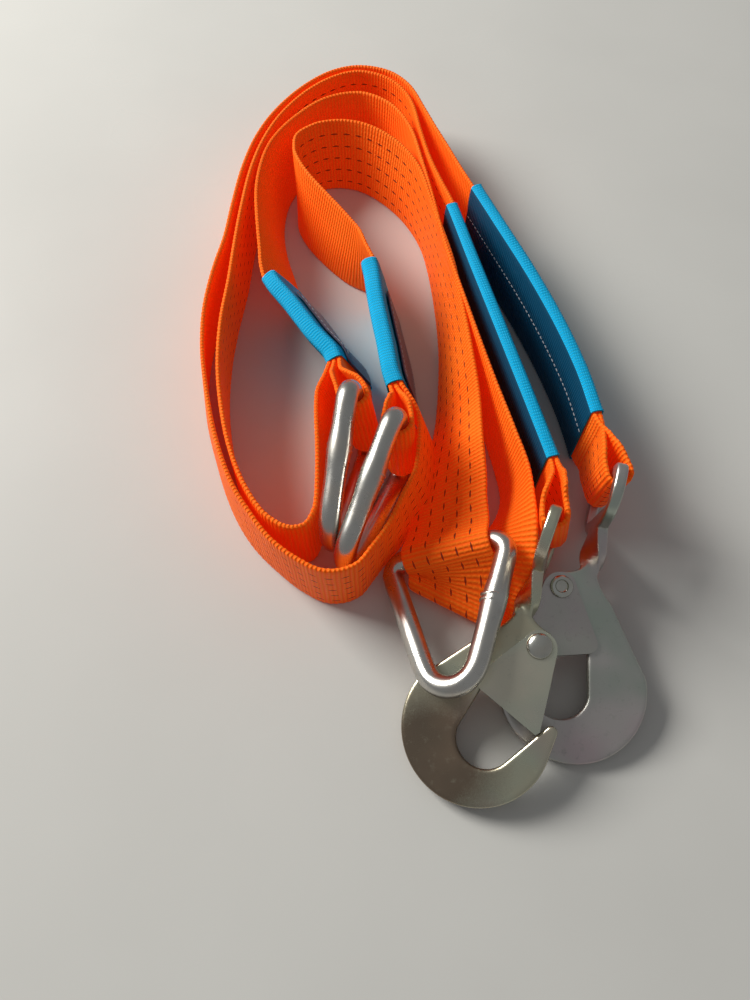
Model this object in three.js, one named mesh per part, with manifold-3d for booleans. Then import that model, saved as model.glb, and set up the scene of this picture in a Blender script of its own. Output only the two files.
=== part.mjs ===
// A two-leg winch bridle: one long webbing strap threaded through a loose triangular ring, a short
// wear sleeve with a second ring on each leg, and a long wear sleeve with a flat snap hook at each end.
// It lies coiled on edge on a table. Millimetres, +Z up, +Y away from the viewer, +X to the right.
import * as THREE from 'three';
import { mergeVertices } from 'three/addons/utils/BufferGeometryUtils.js';
import Module from 'manifold-3d';

const wasm = await Module();
wasm.setup();

// Driving dimensions
const WEBBING_WIDTH = 50;
const WEBBING_THICKNESS = 2.6;
const LAYER_GAP = 0.35;
const TABLE_GAP = 0.2;
const RIBBON_STEP = 10;

const SLEEVE_WALL = 1.3;
const SLEEVE_EASE = 0.5;
const TAG_HEIGHT = 36;
const TAG_THICKNESS = 1;

const RING_WIRE = 12;
const RING_INSIDE_WIDTH = 54;
const RING_INSIDE_LENGTH = 64;
const RING_CORNER_RADIUS = 8;
const RING_TIP_RADIUS = 15;
const RING_WELD_HEIGHT = 0.9;
const RING_WELD_LENGTH = 9;
const BAR_GAP = 0.35;
const SLACK_GAP = 0.7;

const HOOK_PLATE = 6;
const HOOK_EDGE = 1.2;
const HOOK_BODY_RADIUS = 37.5;
const HOOK_THROAT_RADIUS = 15;
const HOOK_NECK_START = 94;
const HOOK_NECK_END = 124;
const HOOK_EYE_END = 152;
const HOOK_EYE_BAR = 7;
const RIVET_X = 13;
const RIVET_Y = 86;
const RIVET_RADIUS = 3.5;
const RIVET_HEAD_RADIUS = 6.5;
const RIVET_TAIL_RADIUS = 6;
const RIVET_HEAD_HEIGHT = 2.6;
const RIVET_TAIL_HEIGHT = 1.6;
const RIVET_GAP = 0.3;
const LATCH_SHEET = 1.5;
const LATCH_GAP = 0.35;
const SPRING_WIRE = 1.2;

// Materials
const WEBBING = new THREE.MeshStandardMaterial({ color: 0xff5a0a, roughness: 0.75, metalness: 0 });
const SLEEVE = new THREE.MeshStandardMaterial({ color: 0x1283d6, roughness: 0.8, metalness: 0 });
const TAG = new THREE.MeshStandardMaterial({ color: 0x1c1b33, roughness: 0.7, metalness: 0 });
const RING = new THREE.MeshStandardMaterial({ color: 0xc9ccc8, roughness: 0.3, metalness: 1 });
const HOOK = new THREE.MeshStandardMaterial({ color: 0x9a9f95, roughness: 0.35, metalness: 1 });
const RIVET = new THREE.MeshStandardMaterial({ color: 0xb9bcb4, roughness: 0.3, metalness: 1 });

const UP = new THREE.Vector3(0, 0, 1);
const radians = THREE.MathUtils.degToRad;

// A direction from its tilt away from vertical and the compass heading it tilts to (0 is +X, 90 is +Y)
function tilted(tilt, heading) {
  const level = Math.sin(radians(tilt));
  return new THREE.Vector3(
    level * Math.cos(radians(heading)),
    level * Math.sin(radians(heading)),
    Math.cos(radians(tilt)),
  );
}

// A frame of a ribbon: its centre, the unit ruling across it, its travel and its normal
function frame(point, ruling, travel) {
  const along = travel.clone().normalize();
  const across = ruling.clone().normalize();
  const normal = new THREE.Vector3().crossVectors(along, across);
  const stretch = 1 / normal.length();
  return { point, across, along, stretch, normal: normal.normalize() };
}

// Frames along points and rulings, with each travel taken from the neighbours
function framesThrough(points, rulings) {
  return points.map((point, i) => {
    const before = points[Math.max(i - 1, 0)];
    const after = points[Math.min(i + 1, points.length - 1)];
    return frame(point, rulings[i], after.clone().sub(before));
  });
}

// A route is chosen by hand: rows of x, y, height of the lower edge, tilt of the upper edge and the
// heading it tilts to. Smooth curves run through the rows.
function routeFrames(rows, step) {
  const centres = rows.map(([x, y, low, tilt]) => new THREE.Vector3(
    x, y, low + TABLE_GAP + (WEBBING_WIDTH / 2) * Math.cos(radians(tilt))
      + (WEBBING_THICKNESS / 2) * Math.sin(radians(tilt))));
  const rulings = rows.map(([, , , tilt, heading]) => tilted(tilt, heading));
  const centreCurve = new THREE.CatmullRomCurve3(centres, false, 'centripetal');
  const rulingCurve = new THREE.CatmullRomCurve3(rulings, false, 'catmullrom', 0.5);
  const points = [];
  const across = [];
  const spans = rows.length - 1;
  for (let i = 0; i < spans; i += 1) {
    const count = Math.max(1, Math.round(centres[i].distanceTo(centres[i + 1]) / step));
    for (let j = 0; j < count; j += 1) {
      const u = (i + j / count) / spans;
      points.push(centreCurve.getPoint(u));
      across.push(rulingCurve.getPoint(u));
    }
  }
  points.push(centres[spans].clone());
  across.push(rulings[spans].clone());
  return framesThrough(points, across);
}

// The same frames moved sideways, to the right of travel for a positive distance
function shifted(frames, distance) {
  return frames.map((f) => frame(
    f.point.clone().addScaledVector(f.normal, distance), f.across, f.along));
}

// A short blend from one frame to another: a Hermite curve that keeps both travels
function blended(from, to, count, pull = 1) {
  const span = from.point.distanceTo(to.point) * pull;
  const points = [];
  const across = [];
  for (let i = 1; i < count; i += 1) {
    const t = i / count;
    const a = 2 * t ** 3 - 3 * t ** 2 + 1;
    const b = t ** 3 - 2 * t ** 2 + t;
    const c = -2 * t ** 3 + 3 * t ** 2;
    const d = t ** 3 - t ** 2;
    points.push(new THREE.Vector3()
      .addScaledVector(from.point, a)
      .addScaledVector(from.along, b * span)
      .addScaledVector(to.point, c)
      .addScaledVector(to.along, d * span));
    across.push(from.across.clone().lerp(to.across, t * t * (3 - 2 * t)));
  }
  return framesThrough([from.point, ...points, to.point], [from.across, ...across, to.across])
    .slice(1, -1);
}

// Half a turn of webbing round a bar, from the bar's right side to its left side
function turnRound(centre, across, approach, radius, count) {
  const forward = approach.clone().addScaledVector(across, -approach.dot(across)).normalize();
  const right = new THREE.Vector3().crossVectors(forward, across).normalize();
  const frames = [];
  for (let i = 0; i <= count; i += 1) {
    const angle = (Math.PI * i) / count;
    const point = centre.clone()
      .addScaledVector(right, radius * Math.cos(angle))
      .addScaledVector(forward, radius * Math.sin(angle));
    const travel = new THREE.Vector3()
      .addScaledVector(right, -Math.sin(angle))
      .addScaledVector(forward, Math.cos(angle));
    frames.push(frame(point, across, travel));
  }
  return frames;
}

function reversed(frames) {
  return [...frames].reverse().map((f) => frame(f.point, f.across, f.along.clone().negate()));
}

// Bends a straight solid, drawn as x to the left, y up and z along from 0 to 1, through the frames
function bendAlong(geometry, frames) {
  const bent = geometry.clone();
  const position = bent.attributes.position;
  for (let i = 0; i < position.count; i += 1) {
    const place = position.getZ(i) * (frames.length - 1);
    const f = frames[Math.round(place)];
    const point = f.point.clone()
      .addScaledVector(f.normal, -position.getX(i))
      .addScaledVector(f.across, position.getY(i) * f.stretch);
    position.setXYZ(i, point.x, point.y, point.z);
  }
  return solidOf(bent);
}

// One plain solid without split vertices
function solidOf(geometry) {
  const bare = geometry.clone();
  bare.deleteAttribute('normal');
  bare.deleteAttribute('uv');
  return mergeVertices(bare, 1e-4);
}

function ribbon(frames, width = WEBBING_WIDTH, thickness = WEBBING_THICKNESS) {
  const steps = frames.length - 1;
  const strip = new THREE.BoxGeometry(thickness, width, 1, 1, 1, steps);
  strip.translate(0, 0, 0.5);
  return bendAlong(strip, frames);
}

function toManifold(geometry) {
  const solid = solidOf(geometry);
  const index = solid.index ? solid.index.array : solid.attributes.position.array.map((_, i) => i);
  return new wasm.Manifold(new wasm.Mesh({
    numProp: 3,
    vertProperties: Float32Array.from(solid.attributes.position.array),
    triVerts: Uint32Array.from(index),
  }));
}

function fromManifold(manifold) {
  const mesh = manifold.getMesh();
  const geometry = new THREE.BufferGeometry();
  geometry.setAttribute('position', new THREE.BufferAttribute(mesh.vertProperties, 3));
  geometry.setIndex(new THREE.BufferAttribute(mesh.triVerts, 1));
  return geometry;
}

// A flat fabric tube round a stack of layers, open at both ends
function sheath(frames, insideThickness) {
  const half = (size) => size / 2;
  const outline = (thickness, width, corner) => {
    const shape = new THREE.Shape();
    const x = half(thickness);
    const y = half(width);
    shape.moveTo(-x + corner, -y);
    shape.lineTo(x - corner, -y);
    shape.quadraticCurveTo(x, -y, x, -y + corner);
    shape.lineTo(x, y - corner);
    shape.quadraticCurveTo(x, y, x - corner, y);
    shape.lineTo(-x + corner, y);
    shape.quadraticCurveTo(-x, y, -x, y - corner);
    shape.lineTo(-x, -y + corner);
    shape.quadraticCurveTo(-x, -y, -x + corner, -y);
    return shape;
  };
  const insideWidth = WEBBING_WIDTH + 2 * SLEEVE_EASE;
  const outer = outline(
    insideThickness + 2 * SLEEVE_WALL, insideWidth + 2 * SLEEVE_WALL, insideThickness / 2.5);
  outer.holes.push(outline(insideThickness, insideWidth, LAYER_GAP));
  const tube = new THREE.ExtrudeGeometry(outer, {
    depth: 1, steps: frames.length - 1, bevelEnabled: false, curveSegments: 3,
  });
  return bendAlong(tube, frames);
}

const group = new THREE.Group();

function add(name, geometry, material, parent = group) {
  const mesh = new THREE.Mesh(geometry, material);
  mesh.name = name;
  parent.add(mesh);
  return mesh;
}

// Snap hook, drawn flat: x towards its mouth, y from the curved end to the eye, z through the plate

// The plate's outline, from the neck's left side down the spine, round the end and up the mouth
function hookOutline() {
  const shape = new THREE.Shape();
  const centreX = -3.5;
  const centreY = HOOK_BODY_RADIUS;
  const halfNeck = HOOK_PLATE / 2;
  const startAngle = radians(158);
  const endAngle = radians(-6);
  shape.moveTo(-halfNeck, HOOK_NECK_START + 8);
  shape.quadraticCurveTo(-halfNeck - 1, HOOK_NECK_START - 2, -14, 84);
  shape.lineTo(-31, 61);
  shape.absarc(centreX, centreY, HOOK_BODY_RADIUS, startAngle, 2 * Math.PI + endAngle, false);
  shape.lineTo(36.5, 45);
  shape.absarc(31.5, 46.5, 5, radians(-10), radians(140), false);
  shape.lineTo(22, 38);
  shape.absarc(2.5, 34.5, HOOK_THROAT_RADIUS - 0.5, radians(-12), radians(-180), true);
  shape.lineTo(-7.5, 56);
  shape.quadraticCurveTo(-5, 74, 6, 75.5);
  shape.lineTo(15, 76);
  shape.absarc(RIVET_X - 3.5, RIVET_Y, 10.5, radians(-52), radians(50), false);
  shape.quadraticCurveTo(halfNeck + 2, HOOK_NECK_START + 2, halfNeck, HOOK_NECK_START + 8);
  shape.closePath();
  return shape;
}

function hookPlate() {
  const rivetHole = new THREE.CylinderGeometry(
    RIVET_RADIUS + RIVET_GAP, RIVET_RADIUS + RIVET_GAP, 4 * HOOK_PLATE, 20);
  rivetHole.rotateX(Math.PI / 2);
  rivetHole.translate(RIVET_X, RIVET_Y, 0);
  const plate = new THREE.ExtrudeGeometry(hookOutline(), {
    depth: HOOK_PLATE - 2 * HOOK_EDGE, steps: 1, curveSegments: 12,
    bevelEnabled: true, bevelThickness: HOOK_EDGE, bevelSize: HOOK_EDGE, bevelOffset: -HOOK_EDGE,
    bevelSegments: 1,
  });
  plate.translate(0, 0, -HOOK_PLATE / 2 + HOOK_EDGE);
  const neck = hookNeck();
  const eye = hookEye();
  return fromManifold(toManifold(plate).subtract(toManifold(rivetHole)).add(toManifold(neck))
    .add(toManifold(eye)));
}

// The neck turns through a quarter between the plate and the eye
function hookNeck() {
  const steps = 8;
  const start = HOOK_NECK_START + 4;
  const length = HOOK_NECK_END + 2 - start;
  const bar = new THREE.BoxGeometry(1, length, HOOK_PLATE, 1, steps, 1);
  bar.translate(0, length / 2, 0);
  const position = bar.attributes.position;
  for (let i = 0; i < position.count; i += 1) {
    const t = position.getY(i) / length;
    const angle = (Math.PI / 2) * (1 - (1 - t) ** 2);
    const width = 9 + 13 * t;
    const x = position.getX(i) * width;
    const z = position.getZ(i);
    position.setXYZ(i, x * Math.cos(angle) - z * Math.sin(angle), start + t * length,
      x * Math.sin(angle) + z * Math.cos(angle));
  }
  return solidOf(bar);
}

// The slot eye stands square to the plate: a frame of bar round the webbing's slot
function hookEye() {
  const insideHeight = WEBBING_WIDTH + 3;
  const height = insideHeight + 2 * HOOK_EYE_BAR;
  const near = HOOK_NECK_END - 3;
  const corner = 8;
  const shape = new THREE.Shape();
  const z = height / 2;
  shape.moveTo(-11, near);
  shape.lineTo(11, near);
  shape.quadraticCurveTo(z - 4, near + 2, z, near + 17);
  shape.lineTo(z, HOOK_EYE_END - corner);
  shape.quadraticCurveTo(z, HOOK_EYE_END, z - corner, HOOK_EYE_END);
  shape.lineTo(-z + corner, HOOK_EYE_END);
  shape.quadraticCurveTo(-z, HOOK_EYE_END, -z, HOOK_EYE_END - corner);
  shape.lineTo(-z, near + 17);
  shape.quadraticCurveTo(-z + 4, near + 2, -11, near);
  const slotNear = near + HOOK_EYE_BAR + 2;
  const slotFar = HOOK_EYE_END - HOOK_EYE_BAR;
  const half = insideHeight / 2;
  const round = 3;
  const slot = new THREE.Path();
  slot.moveTo(-half + round, slotNear);
  slot.lineTo(half - round, slotNear);
  slot.quadraticCurveTo(half, slotNear, half, slotNear + round);
  slot.lineTo(half, slotFar - round);
  slot.quadraticCurveTo(half, slotFar, half - round, slotFar);
  slot.lineTo(-half + round, slotFar);
  slot.quadraticCurveTo(-half, slotFar, -half, slotFar - round);
  slot.lineTo(-half, slotNear + round);
  slot.quadraticCurveTo(-half, slotNear, -half + round, slotNear);
  shape.holes.push(slot);
  const eye = new THREE.ExtrudeGeometry(shape, {
    depth: HOOK_PLATE - 2 * HOOK_EDGE, steps: 1, curveSegments: 4,
    bevelEnabled: true, bevelThickness: HOOK_EDGE, bevelSize: HOOK_EDGE, bevelOffset: -HOOK_EDGE,
    bevelSegments: 1,
  });
  eye.translate(0, 0, -HOOK_PLATE / 2 + HOOK_EDGE);
  eye.rotateY(Math.PI / 2);
  return eye;
}

// The latch is one folded sheet: a cheek on each face of the plate and a web that shuts the mouth
function latch() {
  const cheekOutline = new THREE.Shape();
  cheekOutline.moveTo(RIVET_X - 6, RIVET_Y + 5);
  cheekOutline.lineTo(-10, 64);
  cheekOutline.quadraticCurveTo(-13, 59, -8, 56);
  cheekOutline.lineTo(24.5, 45);
  cheekOutline.lineTo(26.2, 47);
  cheekOutline.lineTo(22.5, RIVET_Y - 3);
  cheekOutline.quadraticCurveTo(22, RIVET_Y + 7, RIVET_X, RIVET_Y + 8);
  cheekOutline.quadraticCurveTo(RIVET_X - 4, RIVET_Y + 8, RIVET_X - 6, RIVET_Y + 5);
  const hole = new THREE.Path();
  hole.absarc(RIVET_X, RIVET_Y, RIVET_RADIUS + RIVET_GAP, 0, 2 * Math.PI, true);
  cheekOutline.holes.push(hole);
  const cheekInside = HOOK_PLATE / 2 + LATCH_GAP;
  const cheek = new THREE.ExtrudeGeometry(
    cheekOutline, { depth: LATCH_SHEET, bevelEnabled: false, curveSegments: 10 });
  const upper = cheek.clone();
  upper.translate(0, 0, cheekInside);
  const lower = cheek.clone();
  lower.translate(0, 0, -cheekInside - LATCH_SHEET);
  const webOutline = new THREE.Shape();
  webOutline.moveTo(24.5, 45);
  webOutline.lineTo(26.2, 47);
  webOutline.lineTo(23.6, 74);
  webOutline.lineTo(21.8, 74);
  webOutline.closePath();
  const web = new THREE.ExtrudeGeometry(
    webOutline, { depth: 2 * cheekInside + LATCH_SHEET, bevelEnabled: false });
  web.translate(0, 0, -cheekInside - LATCH_SHEET / 2);
  return fromManifold(toManifold(upper).add(toManifold(lower)).add(toManifold(web)));
}

// The rivet: a round shank with a domed head on one face and a hollow clenched tail on the other
function rivet() {
  const seat = HOOK_PLATE / 2 + LATCH_GAP + LATCH_SHEET + RIVET_GAP;
  const profile = [
    [0, -seat - RIVET_TAIL_HEIGHT + 1],
    [3, -seat - RIVET_TAIL_HEIGHT + 1],
    [3.5, -seat - RIVET_TAIL_HEIGHT],
    [RIVET_TAIL_RADIUS - 0.8, -seat - RIVET_TAIL_HEIGHT],
    [RIVET_TAIL_RADIUS, -seat - RIVET_TAIL_HEIGHT / 2],
    [RIVET_TAIL_RADIUS, -seat],
    [RIVET_RADIUS, -seat],
    [RIVET_RADIUS, seat],
    [RIVET_HEAD_RADIUS, seat],
    [RIVET_HEAD_RADIUS, seat + 0.8],
    [RIVET_HEAD_RADIUS * 0.82, seat + RIVET_HEAD_HEIGHT * 0.7],
    [RIVET_HEAD_RADIUS * 0.45, seat + RIVET_HEAD_HEIGHT * 0.95],
    [0, seat + RIVET_HEAD_HEIGHT],
  ].map(([x, y]) => new THREE.Vector2(x, y));
  const geometry = new THREE.LatheGeometry(profile, 16);
  geometry.rotateX(Math.PI / 2);
  geometry.translate(RIVET_X, RIVET_Y, 0);
  return solidOf(geometry);
}

// The latch's spring: a bent wire on the inside of the web, which bears on the throat's upper edge
function latchSpring() {
  const route = new THREE.CatmullRomCurve3([
    new THREE.Vector3(21.6, 66, 0),
    new THREE.Vector3(22.2, 58, 0),
    new THREE.Vector3(18.8, 54.5, 0),
    new THREE.Vector3(15.4, 58, 0),
    new THREE.Vector3(13.4, 73, 0),
  ]);
  const section = new THREE.Shape();
  section.absarc(0, 0, SPRING_WIRE / 2, 0, 2 * Math.PI, false);
  return new THREE.ExtrudeGeometry(
    section, { steps: 12, bevelEnabled: false, extrudePath: route, curveSegments: 4 });
}

// Places a hook's group: the foot of its curved end, the yaw of its length from +Y, pitch and roll
function hookGroup(x, y, z, yaw, pitch, roll, turned) {
  const holder = new THREE.Group();
  const turn = new THREE.Matrix4().makeRotationZ(radians(-yaw));
  turn.multiply(new THREE.Matrix4().makeRotationX(radians(pitch)));
  turn.multiply(new THREE.Matrix4().makeRotationY(radians(roll)));
  if (turned) {
    turn.multiply(new THREE.Matrix4().makeRotationY(Math.PI));
  }
  holder.setRotationFromMatrix(turn);
  holder.position.set(x, y, z);
  holder.updateMatrixWorld(true);
  group.add(holder);
  return holder;
}

const hookA = hookGroup(39.8, 27.1, 5.2, 22, 14, -7, false);
const hookB = hookGroup(87.3, 48.3, 3.7, 16, 12.2, 0, true);

[['a', hookA], ['b', hookB]].forEach(([letter, holder]) => {
  add(`hook_${letter}`, hookPlate(), HOOK, holder);
  add(`latch_${letter}`, latch(), HOOK, holder);
  add(`latch_rivet_${letter}`, rivet(), RIVET, holder);
  add(`latch_spring_${letter}`, latchSpring(), RIVET, holder);
});

// Triangular rings: round wire bent round three corner circles, welded on one long leg
const ringHalfBase = (RING_INSIDE_WIDTH + RING_WIRE) / 2;
const ringLength = RING_INSIDE_LENGTH + RING_WIRE;

// The wire's centre line as a belt round the corners: x along the base bar, y towards the tip
function ringPath() {
  const corners = [
    { x: -(ringHalfBase - RING_CORNER_RADIUS), y: RING_CORNER_RADIUS, r: RING_CORNER_RADIUS },
    { x: ringHalfBase - RING_CORNER_RADIUS, y: RING_CORNER_RADIUS, r: RING_CORNER_RADIUS },
    { x: 0, y: ringLength - RING_TIP_RADIUS, r: RING_TIP_RADIUS },
  ];
  const outward = corners.map((corner, i) => {
    const next = corners[(i + 1) % 3];
    const dx = next.x - corner.x;
    const dy = next.y - corner.y;
    const distance = Math.hypot(dx, dy);
    return Math.atan2(dy, dx) - Math.PI / 2 - Math.asin((next.r - corner.r) / distance);
  });
  const points = [];
  corners.forEach((corner, i) => {
    const from = outward[(i + 2) % 3];
    let to = outward[i];
    while (to < from) {
      to += 2 * Math.PI;
    }
    const turns = 6;
    for (let j = 0; j <= turns; j += 1) {
      const angle = from + ((to - from) * j) / turns;
      points.push(new THREE.Vector3(
        corner.x + corner.r * Math.cos(angle), corner.y + corner.r * Math.sin(angle), 0));
    }
    const next = corners[(i + 1) % 3];
    const start = points[points.length - 1].clone();
    const end = new THREE.Vector3(
      next.x + next.r * Math.cos(to), next.y + next.r * Math.sin(to), 0);
    const straights = i === 1 ? 8 : 4;
    for (let j = 1; j < straights; j += 1) {
      points.push(start.clone().lerp(end, j / straights));
    }
  });
  return points;
}

function ringWire() {
  const path = ringPath();
  const sides = 10;
  const torus = new THREE.TorusGeometry(2, 1, sides, path.length);
  const position = torus.attributes.position;
  const weldPoint = new THREE.Vector3(
    (ringHalfBase + RING_TIP_RADIUS) / 2, ringLength * 0.45, 0);
  for (let i = 0; i < position.count; i += 1) {
    const x = position.getX(i);
    const y = position.getY(i);
    const turn = (Math.atan2(y, x) / (2 * Math.PI) + 1) % 1;
    const k = Math.round(turn * path.length) % path.length;
    const before = path[(k + path.length - 1) % path.length];
    const after = path[(k + 1) % path.length];
    const travel = after.clone().sub(before).normalize();
    const outwards = new THREE.Vector3(travel.y, -travel.x, 0);
    const bump = RING_WELD_HEIGHT * Math.exp(-((path[k].distanceTo(weldPoint) / RING_WELD_LENGTH) ** 4));
    const radius = RING_WIRE / 2 + bump;
    const point = path[k].clone().addScaledVector(outwards, radius * (Math.hypot(x, y) - 2));
    position.setXYZ(i, point.x, point.y, radius * position.getZ(i));
  }
  return solidOf(torus);
}

// A ring by the middle of its base bar, the bar's upward direction and the direction to its tip
function ringHolder(middle, barDirection, tip) {
  const along = tip.clone().sub(middle);
  along.addScaledVector(barDirection, -along.dot(barDirection)).normalize();
  const normal = new THREE.Vector3().crossVectors(barDirection, along);
  const holder = new THREE.Group();
  holder.setRotationFromMatrix(new THREE.Matrix4().makeBasis(barDirection, along, normal));
  holder.position.copy(middle);
  group.add(holder);
  return { holder, middle, barDirection, along, normal };
}

const ring1 = ringHolder(
  new THREE.Vector3(-8.5, 228, 39.5), tilted(8, 183), new THREE.Vector3(-19.5, 157, 19));
const ring2 = ringHolder(
  new THREE.Vector3(13.6, 211.3, 39.5), tilted(5, 200), new THREE.Vector3(-11.5, 148.3, 18.5));
const ring3 = ringHolder(
  new THREE.Vector3(39.1, 153.4, 22.6), tilted(61.6, 2.5), new THREE.Vector3(43.8, 77.1, 35.6));
[ring1, ring2, ring3].forEach((ring, i) => {
  add(`ring_${i + 1}`, ringWire(), RING, ring.holder);
});

// The strap's stretches, in the order that the webbing runs from hook A to hook B

// Long sleeve A to short sleeve 1: the inner lane of the outer arc
const longSleeveA = [
  [94.5, 195, 2, 0, 0],
  [84, 238, 2, 0, 0],
  [72, 286, 2, 0, 0],
  [60, 334, 2, 0, 0],
  [49, 379, 2, 0, 0],
];
const innerLane = [
  [43, 400, 1, 0, 0],
  [35.5, 430, 0, 0, 0],
  [30, 458, 0, 0, 0],
  [26.5, 478, 0, 0, 0],
  [19.5, 495, 0, 0, 0],
  [7, 508, 0, 0, 0],
  [-11, 514, 0, 0, 0],
  [-28, 509, 0, 0, 0],
  [-47, 494, 0, 0, 0],
  [-65, 469, 0, 0, 0],
  [-75.5, 444, 0, 0, 0],
  [-82, 416, 0, 0, 0],
  [-85.5, 384, 0, 0, 0],
  [-87.5, 352, 0, 0, 0],
  [-90, 320, 0, 3, 0],
  [-92, 290, 0, 3, 0],
  [-91, 258, 0, 3, 0],
  [-86.5, 229, 0, 3, 0],
  [-79, 202, 0, 2, 0],
  [-69, 179, 0, 2, 0],
  [-57, 162.5, 0, 2, 0],
  [-46, 156, 0, 2, 0],
  [-36, 157.5, 0, 0, 0],
  [-31.5, 166, 0, 0, 0],
  [-30.5, 182, 0, 0, 0],
  [-31, 202, 0, 0, 0],
  [-30, 222, 0, 5, 200],
  [-25, 242, 1, 14, 203],
];
const shortSleeve1 = [
  [-14.8, 264.4, 3.4, 23, 207],
  [-28.5, 286, 3.4, 24, 207],
  [-42, 307.5, 3.4, 25, 208],
  [-55.6, 328.7, 3.4, 26, 208],
];
const middleArc = [
  [-61, 350, 1.6, 24, 195],
  [-68.5, 378, 0.6, 18, 182],
  [-71.5, 408, 0, 14, 172],
  [-67, 438, 0, 12, 150],
  [-53, 463, 0, 10, 130],
  [-32, 483, 0, 8, 110],
  [-9, 488, 0, 7, 90],
  [10, 477, 0, 5, 60],
  [22.5, 456, 0, 3, 30],
  [30, 425, 0, 2, 0],
  [36, 392, 0, 2, 0],
  [43, 350, 0, 2, 0],
  [54, 300, 0, 2, 0],
  [66, 249, 0, 2, 0],
  [75, 211, 0, 4, 0],
  [78, 192, 0, 8, 0],
  [74.5, 174, 1, 20, -5],
  [65.5, 157, 2.5, 47, -20],
  [56, 143, 2.5, 74, -28],
];

// The strap folds back on itself inside ring 3: a slanting fold with the ring's bar above it
const foldAxis = tilted(90, -28);
const foldFront = tilted(90, -118);
const foldCentre = new THREE.Vector3(45.6, 129.3, 6.2);
const foldRadius = 4.2;
function foldFrames() {
  const frames = [];
  const count = 6;
  for (let i = 0; i <= count; i += 1) {
    const angle = (Math.PI * i) / count;
    const point = foldCentre.clone()
      .addScaledVector(UP, -foldRadius * Math.cos(angle))
      .addScaledVector(foldFront, foldRadius * Math.sin(angle))
      .addScaledVector(foldAxis, 3 - (6 * i) / count);
    const travel = new THREE.Vector3()
      .addScaledVector(UP, foldRadius * Math.sin(angle) * Math.PI)
      .addScaledVector(foldFront, foldRadius * Math.cos(angle) * Math.PI)
      .addScaledVector(foldAxis, -6);
    frames.push(frame(point, foldAxis, travel));
  }
  return frames;
}

// Over the base bar of ring 3, from inside the ring to behind it
const overRadius = RING_WIRE / 2 + SLACK_GAP + WEBBING_THICKNESS / 2;
const overStart = 75;
const overEnd = -34;
const overOffset = 1.4;
function overBarFrames() {
  const frames = [];
  const count = 6;
  for (let i = 0; i <= count; i += 1) {
    const angle = radians(overStart + ((overEnd - overStart) * i) / count);
    const point = ring3.middle.clone()
      .addScaledVector(ring3.barDirection, overOffset)
      .addScaledVector(ring3.normal, -overRadius * Math.cos(angle))
      .addScaledVector(ring3.along, overRadius * Math.sin(angle));
    const travel = new THREE.Vector3()
      .addScaledVector(ring3.normal, -Math.sin(angle))
      .addScaledVector(ring3.along, -Math.cos(angle));
    frames.push(frame(point, ring3.barDirection, travel));
  }
  return frames;
}

const innerArc = [
  [41, 186, 6, 50, 5],
  [44.5, 212, 3, 36, 3],
  [48, 240, 0, 26, 2],
  [48.5, 265, 0, 19, 0],
  [47.5, 300, 0, 12, 0],
  [44.5, 336, 0, 8, 0],
  [38.5, 372, 0, 3, 0],
  [34, 393, 0, 3, 30],
  [28, 412, 0, 8, 50],
  [19, 429, 0, 12, 60],
  [7, 443, 0, 13, 60],
  [-8, 454, 0, 13, 75],
  [-24, 458, 0, 12, 90],
  [-40, 455, 0, 10, 110],
  [-51, 446, 0, 8, 130],
  [-54, 432, 0, 5, 100],
  [-51, 415, 0, 10, 50],
  [-42, 398, 0, 14, 30],
  [-29, 380, 0, 14, 25],
  [-15, 361, 0, 8, 20],
  [-5, 347, 1.5, 8, 192],
];
const shortSleeve2 = [
  [1, 334.5, 2.6, 12, 195],
  [6.5, 304.5, 2.6, 15, 195],
  [12, 274.5, 2.6, 16, 195],
  [16.8, 244.5, 2.6, 14, 195],
];
const outerLane = [
  [27.5, 228, 0, 15, 188],
  [30, 209, 0, 16, 182],
  [27, 190, 0, 13, 178],
  [17.5, 175, 0, 6, 170],
  [11.5, 164, 0, 3, 160],
  [5, 154.5, 0, 0, 0],
  [-2, 144.5, 0, 0, 0],
  [-8.5, 136.2, 0, 0, 0],
  [-18, 132.2, 0, 0, 0],
  [-28.5, 132.8, 0, 0, 0],
  [-41, 139.5, 0, 0, 0],
  [-54, 150, 0, 0, 0],
  [-66, 163.5, 0, 3, 30],
  [-76, 178.5, 0, 4, 20],
  [-84.5, 197, 0, 5, 10],
  [-92, 219, 0, 6, 0],
  [-98.5, 243, 0, 8, 0],
  [-103, 268, 0, 8, 0],
  [-104, 297, 0, 6, 0],
  [-100.5, 328, 0, 4, 0],
  [-95, 355, 0, 2, 0],
  [-91.5, 384, 0, 0, 0],
  [-87.5, 417, 0, 0, 0],
  [-80.5, 446.5, 0, 0, 0],
  [-69, 472.5, 0, 0, 0],
  [-50, 498.5, 0, 0, 0],
  [-30, 514.5, 0, 0, 0],
  [-11, 519.5, 0, 0, 0],
  [10.5, 513.5, 0, 0, 0],
  [24.5, 498.5, 0, 0, 0],
  [32.5, 479, 0, 0, 0],
  [41, 456, 0, 0, 0],
  [53, 425, 1, 0, 0],
];
const longSleeveB = [
  [65.5, 395, 2, 0, 0],
  [79, 362, 2, 0, 0],
  [95, 322, 2, 0, 0],
  [108, 284, 2, 0, 0],
  [117, 250, 2, 0, 0],
  [121.5, 223, 2, 0, 0],
];

// Frames of a stretch cut from a longer smooth route
function stretch(rows, first, last, step) {
  const frames = routeFrames(rows, step);
  const start = nearest(frames, rows[first]);
  const end = nearest(frames, rows[last]);
  return frames.slice(start, end + 1);
}

function nearest(frames, [x, y]) {
  let best = 0;
  frames.forEach((f, i) => {
    const here = Math.hypot(f.point.x - x, f.point.y - y);
    const there = Math.hypot(frames[best].point.x - x, frames[best].point.y - y);
    if (here < there) {
      best = i;
    }
  });
  return best;
}

const layerPitch = WEBBING_THICKNESS + LAYER_GAP;

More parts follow.
